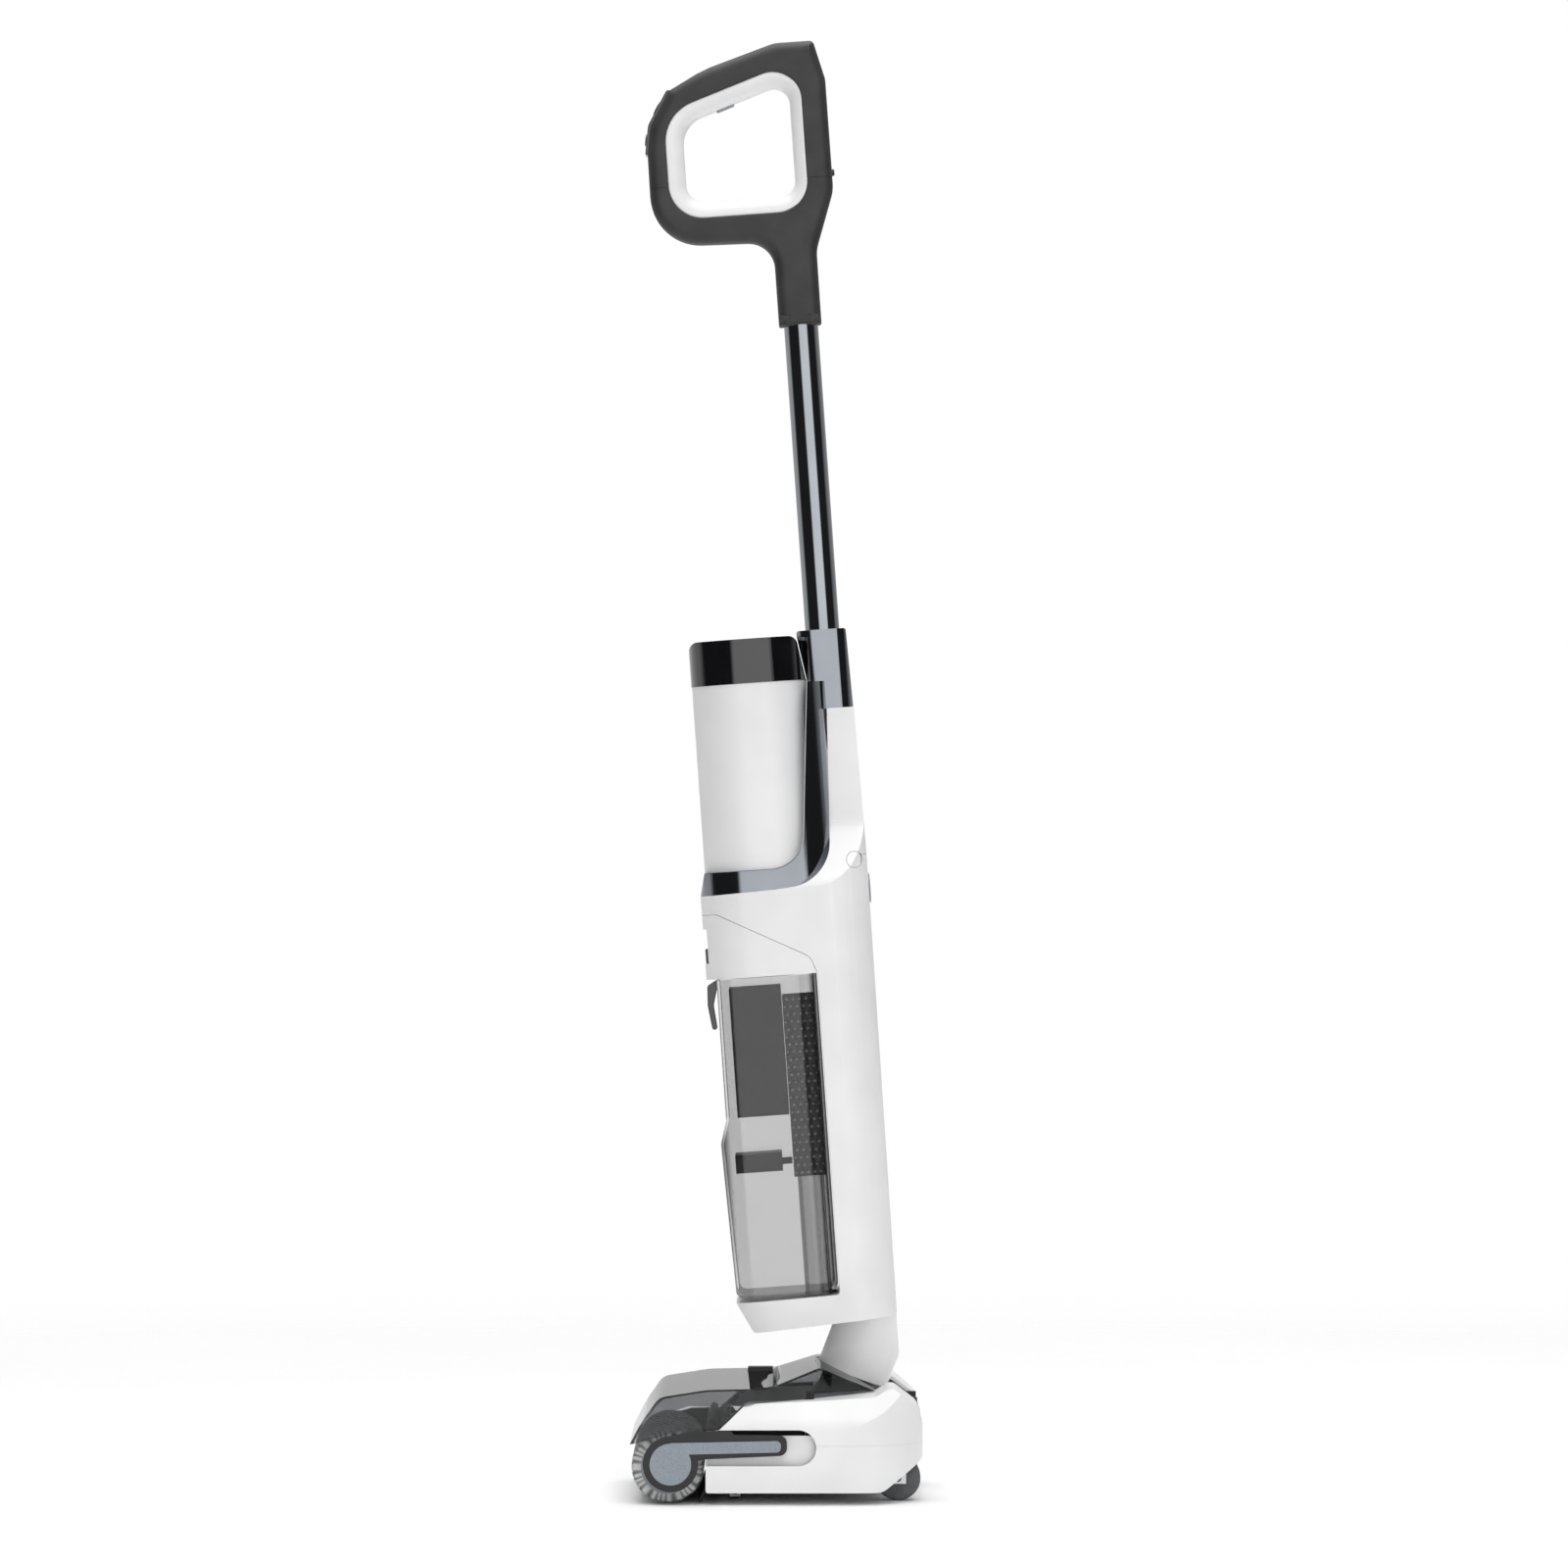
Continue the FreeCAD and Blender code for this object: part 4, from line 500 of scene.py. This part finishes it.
def turned(profile, segments=96):
    """Closed surface turned about X: profile rows are (x, radius); both ends lie on the axis."""
    profile = np.asarray(profile, float)
    angle = np.linspace(0, 2 * math.pi, segments, endpoint=False)
    points = np.stack([np.broadcast_to(profile[:, :1], (len(profile), segments)),
                       profile[:, 1:] * np.cos(angle), profile[:, 1:] * np.sin(angle)], -1)
    return points.reshape(-1, 3), grid_faces(len(profile), segments, wrap_columns=True).tolist()


# Outer points of one cell, anticlockwise from its right side, in halves of the cell.
CELL = np.array([(1, 0), (1, 1), (0, 1), (-1, 1), (-1, 0), (-1, -1), (0, -1), (1, -1)], float)


def perforated(origin, along, up, size, counts, radius, thick, stagger=0.0):
    """Closed flat plate of cells with one eight-sided hole each.

    A point is origin + along * a + up * b + (along x up) * c, with a and b inside the size and c 0 or
    thick; holes of odd rows are moved by +stagger along the plate and those of even rows by -stagger.
    """
    along, up = np.asarray(along, float), np.asarray(up, float)
    out = np.cross(along, up)
    columns, rows = counts
    pitch = np.array([size[0] / columns, size[1] / rows])
    row, column = (part.ravel() for part in np.mgrid[0:rows, 0:columns])
    centre = (np.stack([column, row], -1) + 0.5) * pitch
    turn = np.arange(8) * math.pi / 4
    hole = radius * np.stack([np.cos(turn), np.sin(turn)], -1)
    shift = np.stack([stagger * (2 * (row % 2) - 1.0), np.zeros(len(row))], -1)
    flat = np.concatenate([centre[:, None] + CELL * pitch / 2, (centre + shift)[:, None] + hole], 1)
    levels = np.array([0.0, thick])
    points = (np.asarray(origin, float) + flat[:, None, :, :1] * along + flat[:, None, :, 1:] * up
              + levels[None, :, None, None] * out)
    start = np.arange(len(row))[:, None] * 32
    k = np.arange(8)
    after = (k + 1) % 8
    low = start[:, :, None] + np.stack([k, 8 + k, 8 + after, after], -1)[None]
    high = start[:, :, None] + 16 + np.stack([k, after, 8 + after, 8 + k], -1)[None]
    wall = start[:, :, None] + np.stack([8 + k, 24 + k, 24 + after, 8 + after], -1)[None]
    rim = start[:, :, None] + np.stack([k, after, 16 + after, 16 + k], -1)[None]
    right, top, left, bottom = column == columns - 1, row == rows - 1, column == 0, row == 0
    edge = np.stack([right, top, top, left, left, bottom, bottom, right], -1)
    faces = [part.reshape(-1, 4) for part in (low, high, wall)] + [rim[edge]]
    return points.reshape(-1, 3), np.concatenate(faces)


def join(*shapes):
    """Several shapes as one list of vertices and faces."""
    vertices, faces, start = [], [], 0
    for points, polygons in shapes:
        vertices.append(points)
        faces += [[start + int(i) for i in polygon] for polygon in polygons]
        start += len(points)
    return np.concatenate(vertices), faces


def make(name, vertices, faces, finish, body, replaced=(), smooth_deg=35.0):
    """A visible piece from vertices in row-frame metres, with its normals set outward."""
    mesh = bpy.data.meshes.new(name)
    mesh.from_pydata(np.asarray(vertices).tolist(), [], faces)
    tool = bmesh.new()
    tool.from_mesh(mesh)
    bmesh.ops.remove_doubles(tool, verts=tool.verts, dist=1e-7)
    bmesh.ops.recalc_face_normals(tool, faces=tool.faces)
    tool.to_mesh(mesh)
    tool.free()
    return settle(name, mesh, finish, body, replaced, smooth_deg)


def settle(name, mesh, finish, body, replaced, smooth_deg):
    """Shade, paint and hang a mesh on its body."""
    mesh.shade_smooth()
    mesh.set_sharp_from_angle(angle=math.radians(smooth_deg))
    mesh.materials.clear()
    mesh.materials.append(finish_of(finish))
    piece = bpy.data.objects.new(name, mesh)
    bpy.context.scene.collection.objects.link(piece)
    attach(piece, body)
    if replaced:
        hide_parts(*replaced)
    return piece


def body_name(node):
    """The body that a CAD node rides on."""
    bodies = frame["record"]["behaviour"]["bodies"]
    return next(body for body, members in bodies.items() if node in members)


def slot_name(node):
    """The record's slot of a CAD node."""
    return next(one["material_slot"] for one in frame["record"]["subparts"] if one["node"] == node)


def refine(node, width_mm=0.6, finish=None, segments=3, smooth_deg=28.0):
    """A CAD piece with its triangles joined into whole faces and its edges rounded by a bevel."""
    mesh = bpy.data.meshes.new(node + "_skin")
    tool = bmesh.new()
    tool.from_mesh(NODES[node].data)
    bmesh.ops.remove_doubles(tool, verts=tool.verts, dist=2e-6)
    bmesh.ops.dissolve_limit(tool, angle_limit=math.radians(0.6), verts=tool.verts, edges=tool.edges)
    tool.to_mesh(mesh)
    tool.free()
    slot = slot_name(node)
    piece = settle(node + "_skin", mesh, finish or slot, body_name(node), (node,), smooth_deg)
    if width_mm:
        bevel = piece.modifiers.new("edge", "BEVEL")
        bevel.width = width_mm * MM
        bevel.segments = segments
        bevel.limit_method = "ANGLE"
        bevel.angle_limit = math.radians(smooth_deg)
        bevel.harden_normals = True
        bevel.use_clamp_overlap = True
    return piece


def soften(piece, pick, width_mm, low_deg=8.0, high_deg=75.0, segments=5):
    """Round the convex edges that bend enough and whose ends both pass pick(x, y, z in millimetres)."""
    mesh = piece.data
    tool = bmesh.new()
    tool.from_mesh(mesh)
    layer = tool.edges.layers.float.new("bevel_weight_edge")
    for edge in tool.edges:
        if len(edge.link_faces) == 2 and all(pick(*(vert.co / MM)) for vert in edge.verts):
            bend = math.degrees(edge.calc_face_angle(0.0))
            edge[layer] = 1.0 if low_deg < bend < high_deg and edge.is_convex else 0.0
    tool.to_mesh(mesh)
    tool.free()
    bevel = piece.modifiers.new("soft", "BEVEL")
    bevel.width = width_mm * MM
    bevel.segments = segments
    bevel.limit_method = "WEIGHT"
    bevel.harden_normals = True
    bevel.use_clamp_overlap = True
    piece.modifiers.move(len(piece.modifiers) - 1, 0)


def paint(*names):
    """Give CAD pieces that stay as they are the finish of their slot."""
    for node in names:
        data = NODES[node].data
        data.materials.clear()
        data.materials.append(finish_of(slot_name(node)))


# ------------------------------------------------------------------ properties
class WasherSizes(bpy.types.PropertyGroup):
    """Sizes and colours that someone would change."""
    casing_edge: FloatProperty(
        name="Casing edge", description="Radius of the moulded edges of the white casings, in millimetres",
        default=1.0, min=0.0)
    grip_rim: FloatProperty(
        name="Grip rim", description="Rounding of the loop handle's outer edge, in millimetres",
        default=8.0, min=1.0)
    tuft_count: IntProperty(
        name="Tufts", description="Tufts of pile on the roller", default=15000, min=0)
    tuft_length: FloatProperty(
        name="Tuft length", description="Length of one tuft, in millimetres", default=2.6, min=0.2)
    stripe_turns: FloatProperty(
        name="Stripe turns", description="Turns of the roller's striped helix along its length",
        default=9.0, min=0.0)
    light: FloatProperty(
        name="Light", description="Strength of the studio's soft light", default=1.0, min=0.0,
        subtype="FACTOR")
    floor_colour: FloatVectorProperty(
        name="Room colour", description="Colour of the light that fills the studio", subtype="COLOR",
        default=linear("#FFFFFF"))


def sizes():
    """The sizes and colours held by the scene."""
    return bpy.context.scene.washer_sizes


# ------------------------------------------------------------------ outlines shared by pieces
GRIP = [(-97, 68, 38), (-6, 65, 20), (-6, 0, 1.5), (26.3, 0, 1.5), (26.5, 57, 30), (42.2, 101, 25),
        (42, 185, 15), (34.6, 215, 4), (5, 215, 25), (-50, 198.5, 60), (-77, 184.5, 10),
        (-93, 158.4, 12), (-96.4, 138, 15)]
GRIP_WINDOW = [(-82.3, 86, 26), (22.9, 86, 24), (22.9, 201.5, 22), (-82.3, 167, 32)]
GRIP_HOLE = [(-68.7, 98.5, 14), (13.9, 98.5, 12), (13.9, 185.6, 12), (-68.7, 158.3, 22)]


def grip_loop(corners, spacing=3.0):
    """One outline of the handle, evenly divided, with its height counted from the pole."""
    return even(rounded_outline(corners), spacing) + np.array([0.0, GRIP_FOOT])


def cut_away(vertices, faces, point, normal):
    """The part of a closed shape behind a plane, closed again across the cut."""
    mesh = bpy.data.meshes.new("cutting")
    mesh.from_pydata(np.asarray(vertices).tolist(), [], faces)
    tool = bmesh.new()
    tool.from_mesh(mesh)
    bmesh.ops.remove_doubles(tool, verts=tool.verts, dist=1e-5)
    bmesh.ops.recalc_face_normals(tool, faces=tool.faces)
    geometry = tool.verts[:] + tool.edges[:] + tool.faces[:]
    made = bmesh.ops.bisect_plane(tool, geom=geometry, plane_co=point, plane_no=normal, clear_outer=True)
    edges = [part for part in made["geom_cut"] if isinstance(part, bmesh.types.BMEdge)]
    bmesh.ops.triangle_fill(tool, edges=edges, use_beauty=True)
    tool.verts.index_update()
    points = np.array([vert.co for vert in tool.verts])
    polygons = [[vert.index for vert in face.verts] for face in tool.faces]
    tool.free()
    bpy.data.meshes.remove(mesh)
    return points, polygons


# ------------------------------------------------------------------ operators
class PieceOperator:
    """Common ground of the operators below."""
    bl_options = {"REGISTER", "UNDO"}


class WASHER_OT_grip(PieceOperator, bpy.types.Operator):
    """Loop handle: rounded casings, pale lining ring, gloss panel, buttons, key and rear strip"""
    bl_idname = "washer.grip"
    bl_label = "Grip"

    def execute(self, context):
        rim = sizes().grip_rim
        window = grip_loop(GRIP_WINDOW)
        blank = pebble(grip_loop(GRIP), window, GRIP_HALF, (rim, rim), (0.8, 0.8))
        for name, normal, replaced in (
                ("grip_arch_casing", (0, 0, -1), ("grip_arch_left", "grip_arch_right")),
                ("grip_stem_casing", (0, 0, 1), ("grip_stem",))):
            level = GRIP_SEAM - GRIP_GAP * normal[2]
            part = cut_away(*blank, (0, 0, level), normal)
            make(name, to_row(part[0]), part[1], "grip_dark", "upright", replaced)
        ring = pebble(window, grip_loop(GRIP_HOLE, 2.0), LINING_HALF, (1.2, 1.2), (10.5, 11.0), steps=10)
        make("grip_lining", to_row(ring[0]), ring[1], "casing_white", "upright", ("grip_ring",))
        proud = Matrix.Translation((0, -PANEL_PROUD * MM, PANEL_PROUD * 0.5 * MM))
        for node in ("button_panel", "power_button", "clean_button"):
            refine(node, 0.5).data.transform(proud)
        for node in ("rear_strip", "rear_button", "mode_key"):
            refine(node, 0.4)
        return {"FINISHED"}


class WASHER_OT_pole(PieceOperator, bpy.types.Operator):
    """Polished pole between the collar and the grip"""
    bl_idname = "washer.pole"
    bl_label = "Pole"

    def execute(self, context):
        low, high, radius = CAP_SEAM + POLE_FOOT, GRIP_FOOT + POLE_HEAD, POLE_RADIUS
        profile = [(low, 0), (low, radius - POLE_CHAMFER), (low + POLE_CHAMFER, radius)]
        profile += [(low + (high - low) * share, radius) for share in (0.25, 0.5, 0.75)]
        profile += [(high - POLE_CHAMFER, radius), (high, radius - POLE_CHAMFER), (high, 0)]
        points, faces = turned(profile, 128)
        upright = np.stack([points[:, 1], points[:, 2] + POLE_REAR, points[:, 0]], -1)
        make("pole_tube", to_row(upright), faces, "trim_chrome", "upright", ("pole",))
        return {"FINISHED"}


class WASHER_OT_module(PieceOperator, bpy.types.Operator):
    """Motor module with its gloss display cap, standing in the plated cradle"""
    bl_idname = "washer.module"
    bl_label = "Motor module"

    def execute(self, context):
        refine("cradle_trim", 1.2, segments=4)
        refine("motor_housing", sizes().casing_edge)
        refine("display_cap", 1.2, segments=4)
        return {"FINISHED"}


class WASHER_OT_body(PieceOperator, bpy.types.Operator):
    """Body casings, clean-water tank and its cap, release button"""
    bl_idname = "washer.body"
    bl_label = "Body"

    def execute(self, context):
        edge = sizes().casing_edge
        for node in ("body_shell_left", "body_shell_right"):
            shell = refine(node, edge * 0.3)
            soften(shell, lambda x, y, z: z < 150 and y < 70, 5.0, 15.0, 80.0)
        refine("clean_tank", edge * 0.6)
        refine("filler_cap", 0.5)
        refine("tank_release", 0.3)
        refine("neck_shell", edge)
        return {"FINISHED"}


class WASHER_OT_dirty_tank(PieceOperator, bpy.types.Operator):
    """Clear tank with its lid, latch, grip, guide, strainer and float"""
    bl_idname = "washer.dirty_tank"
    bl_label = "Dirty-water tank"

    def execute(self, context):
        refine("dirty_tank", 0.8, segments=3)
        refine("tank_lid", 0.6)
        refine("tank_latch", 0.8)
        refine("tank_grip", 0.8)
        for node in ("air_guide", "tank_float", "inlet_pipe"):
            refine(node, 0.4)
        half, front, rear, thin = STRAINER_HALF, STRAINER_FRONT, STRAINER_REAR, STRAINER_WALL
        low, high = STRAINER_LOW, STRAINER_HIGH
        holes = dict(size=(rear - front, high - low), counts=(5, 24), radius=HOLE_RADIUS, thick=thin,
                     stagger=HOLE_STAGGER)
        plain = dict(size=(2 * half - 2 * thin, high - low), counts=(5, 12), radius=HOLE_RADIUS, thick=thin)
        basket = join(
            perforated((half - thin, front, low), (0, 1, 0), (0, 0, 1), **holes),
            perforated((-half, front, low), (0, 1, 0), (0, 0, 1), **holes),
            perforated((thin - half, front + thin, low), (1, 0, 0), (0, 0, 1), **plain),
            perforated((thin - half, rear, low), (1, 0, 0), (0, 0, 1), **plain),
            perforated((half - thin, front + thin, low + thin), (0, 1, 0), (1, 0, 0),
                       size=(rear - front - 2 * thin, 0.01), counts=(1, 1), radius=NO_HOLE, thick=thin))
        screens = [
            perforated((side * (half - thin - SCREEN_GAP) - SCREEN_THICK / 2, front + thin, low + thin),
                       (0, 1, 0), (0, 0, 1), size=(rear - front - 2 * thin, high - low - 2 * thin),
                       counts=(1, 1), radius=NO_HOLE, thick=SCREEN_THICK) for side in (1, -1)]
        black_faces = len(basket[1])
        basket = join(basket, *screens)
        strainer = make("strainer_basket", to_row(basket[0]), basket[1], "inner_black", "strainer",
                        ("debris_strainer",))
        strainer.data.materials.append(finish_of("screen"))
        which = (np.arange(len(strainer.data.polygons)) >= black_faces).astype(np.int32)
        strainer.data.polygons.foreach_set("material_index", which)
        return {"FINISHED"}


class WASHER_OT_base(PieceOperator, bpy.types.Operator):
    """Base casings, cover, latch, end caps, duct, cradle, squeegee and spray bar"""
    bl_idname = "washer.base"
    bl_label = "Base"

    def execute(self, context):
        edge = sizes().casing_edge
        shell = refine("base_upper_shell", edge * 1.2)
        soften(shell, lambda x, y, z: z > 46 and (abs(x) > 93 or y > 27), 7.0)
        shell.data.materials.append(finish_of("inner_black"))
        count = len(shell.data.polygons)
        middle = np.empty(count * 3)
        shell.data.polygons.foreach_get("center", middle)
        x, y, z = middle.reshape(-1, 3).T / MM
        deck = (np.abs(x) < DECK_HALF) & (y < DECK_REAR) & (z > DECK_LOW)
        under_cover = (np.abs(x) < OPENING_HALF) & (deck | (y < FRONT_LIP))
        shell.data.polygons.foreach_set("material_index", under_cover.astype(np.int32))
        refine("base_lower_shell", edge * 0.8)
        cover = refine("roller_cover", 0.7, finish="clear_cover")
        spots = np.empty(len(cover.data.vertices) * 3)
        cover.data.vertices.foreach_get("co", spots)
        spots = spots.reshape(-1, 3)
        rise = np.clip((spots[:, 2] / MM - CROWN_LOW) / CROWN_SPAN, 0, 1)
        spots[:, 2] -= CROWN_DROP * MM * rise * (spots[:, 0] / (OPENING_HALF * MM)) ** 2
        cover.data.vertices.foreach_set("co", spots.ravel())
        for node in ("cover_latch", "end_cap", "end_cap_insert", "belt_cover", "suction_duct", "hinge_cradle",
                     "slot_liners", "squeegee", "knuckle", "spray_bar"):
            refine(node, 0.5)
        return {"FINISHED"}


class WASHER_OT_roller(PieceOperator, bpy.types.Operator):
    """Roller with its striped pile, core and pulleys"""
    bl_idname = "washer.roller"
    bl_label = "Roller"

    def execute(self, context):
        low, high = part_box("roller_pile")
        middle = (low + high) / 2
        radius = (high.z - low.z) / 2 / MM
        half = (high.x - low.x) / 2 / MM
        length = sizes().tuft_length
        base_radius = radius - length * SLEEVE_SHARE
        x = np.concatenate([[-half], np.linspace(-half, half, 120), [half]])
        profile = np.stack([x, np.full(len(x), base_radius)], -1)
        profile[0, 1] = profile[-1, 1] = 0
        points, faces = turned(profile, 120)
        source = np.random.default_rng(7)
        count = sizes().tuft_count
        around = source.uniform(0, 2 * math.pi, count)
        along = source.uniform(-half + PILE_END, half - PILE_END, count)
        reach = base_radius + length * source.uniform(RISE_LOW, RISE_HIGH, count)
        lean = source.normal(0, 0.035, count) + 0.05
        shift = source.normal(0, 0.5, count)
        corner = np.array([0, 1, 2]) * 2 * math.pi / 3
        foot_x = along[:, None] + TUFT_FOOT * np.cos(corner)
        foot_angle = around[:, None] + TUFT_FOOT * np.sin(corner) / base_radius
        root = base_radius - TUFT_ROOT
        feet = np.stack([foot_x, root * np.cos(foot_angle), root * np.sin(foot_angle)], -1)
        tips = np.stack([along + shift, reach * np.cos(around + lean), reach * np.sin(around + lean)], -1)
        tufts = np.concatenate([feet, tips[:, None]], 1).reshape(-1, 3)
        start = len(points) + 4 * np.arange(count)[:, None]
        sides = np.stack([start + [0, 1, 3], start + [1, 2, 3], start + [2, 0, 3], start + [0, 2, 1]], 1)
        vertices = np.concatenate([points, tufts])
        place = vertices * MM + np.array([middle.x, middle.y, middle.z])
        piece = make("pile_sleeve", place, faces + sides.reshape(-1, 3).tolist(), "roller_pile", "roller",
                     ("roller_pile",), smooth_deg=80)
        spots = np.empty(len(piece.data.vertices) * 3)
        piece.data.vertices.foreach_get("co", spots)
        spots = spots.reshape(-1, 3) - np.array([middle.x, middle.y, middle.z])
        turn = np.arctan2(spots[:, 2], spots[:, 1]) / (2 * math.pi)
        wave = (turn * BANDS_ROUND + sizes().stripe_turns * (spots[:, 0] / MM + half) / (2 * half)
                + BAND_WAVE * np.sin(turn * 2 * WAVES_ROUND * math.pi)) % 1.0
        band = piece.data.attributes.new("band", "FLOAT", "POINT")
        band.data.foreach_set("value", (np.abs(wave - 0.5) * 2).astype(np.float32))
        paint("roller_core", "roller_pulley", "motor_pulley", "roller_motor", "drive_belt")
        return {"FINISHED"}


class WASHER_OT_wheels(PieceOperator, bpy.types.Operator):
    """Rear and front wheels"""
    bl_idname = "washer.wheels"
    bl_label = "Wheels"

    def execute(self, context):
        refine("rear_wheels", 0.6)
        refine("front_wheels", 0.4)
        return {"FINISHED"}


class WASHER_OT_inside(PieceOperator, bpy.types.Operator):
    """Pieces inside the casings, in their own finishes"""
    bl_idname = "washer.inside"
    bl_label = "Inside"

    def execute(self, context):
        paint("motor_frame", "impeller", "battery_cells", "rear_bay_liner", "inner_ducts", "circuit_boards",
              "water_pump", "duct_seals", "pleated_filter", "base_screws", "hinge_pins")
        return {"FINISHED"}


class WASHER_OT_stage(PieceOperator, bpy.types.Operator):
    """Floor, soft lights and camera"""
    bl_idname = "washer.stage"
    bl_label = "Stage"

    def execute(self, context):
        scene = context.scene
        scene.view_settings.view_transform = "Standard"
        mesh = bpy.data.meshes.new("floor")
        edge = FLOOR_SIZE / 2
        corners = [(-edge, -edge, 0), (edge, -edge, 0), (edge, edge, 0), (-edge, edge, 0)]
        mesh.from_pydata(corners, [], [(0, 1, 2, 3)])
        mesh.materials.append(finish_of("floor"))
        floor = bpy.data.objects.new("floor", mesh)
        scene.collection.objects.link(floor)
        scene.world = studio_world(sizes().light)
        lamp = bpy.data.lights.new("overhead", "AREA")
        lamp.shape = "RECTANGLE"
        lamp.size, lamp.size_y = LAMP_SIZE, LAMP_SIZE
        lamp.energy = LAMP_POWER * sizes().light
        lamp_object = bpy.data.objects.new("overhead", lamp)
        lamp_object.location = (0, 0, LAMP_HEIGHT)
        scene.collection.objects.link(lamp_object)
        camera = bpy.data.cameras.new("camera")
        camera.lens, camera.sensor_width = CAMERA_LENS * CAMERA_AWAY / LENS_AWAY, 36.0
        camera.clip_end = 200.0
        camera_object = bpy.data.objects.new("camera", camera)
        camera_object.location = (CAMERA_AWAY, CAMERA_Y, CAMERA_Z)
        camera_object.rotation_euler = (math.radians(90), 0, math.radians(90))
        scene.collection.objects.link(camera_object)
        scene.camera = camera_object
        return {"FINISHED"}


OPERATORS = (WASHER_OT_stage, WASHER_OT_grip, WASHER_OT_pole, WASHER_OT_module, WASHER_OT_body,
             WASHER_OT_dirty_tank, WASHER_OT_base, WASHER_OT_roller, WASHER_OT_wheels, WASHER_OT_inside)


class WASHER_PT_panel(bpy.types.Panel):
    """Lists the sizes and the pieces"""
    bl_idname = "WASHER_PT_panel"
    bl_label = "Floor washer"
    bl_space_type = "VIEW_3D"
    bl_region_type = "UI"
    bl_category = "Washer"

    def draw(self, context):
        for name in WasherSizes.__annotations__:
            self.layout.prop(context.scene.washer_sizes, name)
        for operator in OPERATORS:
            self.layout.operator(operator.bl_idname)


CLASSES = (WasherSizes, *OPERATORS, WASHER_PT_panel)


def register():
    """Make the classes known and hang the sizes on the scene."""
    for one in CLASSES:
        bpy.utils.register_class(one)
    bpy.types.Scene.washer_sizes = PointerProperty(type=WasherSizes)


def unregister():
    """Take the sizes and the classes away again."""
    del bpy.types.Scene.washer_sizes
    for one in reversed(CLASSES):
        bpy.utils.unregister_class(one)


def main():
    """Register, and build every piece in order."""
    register()
    for operator in OPERATORS:
        group, name = operator.bl_idname.split(".")
        getattr(getattr(bpy.ops, group), name)()


if __name__ == "__main__":
    main()
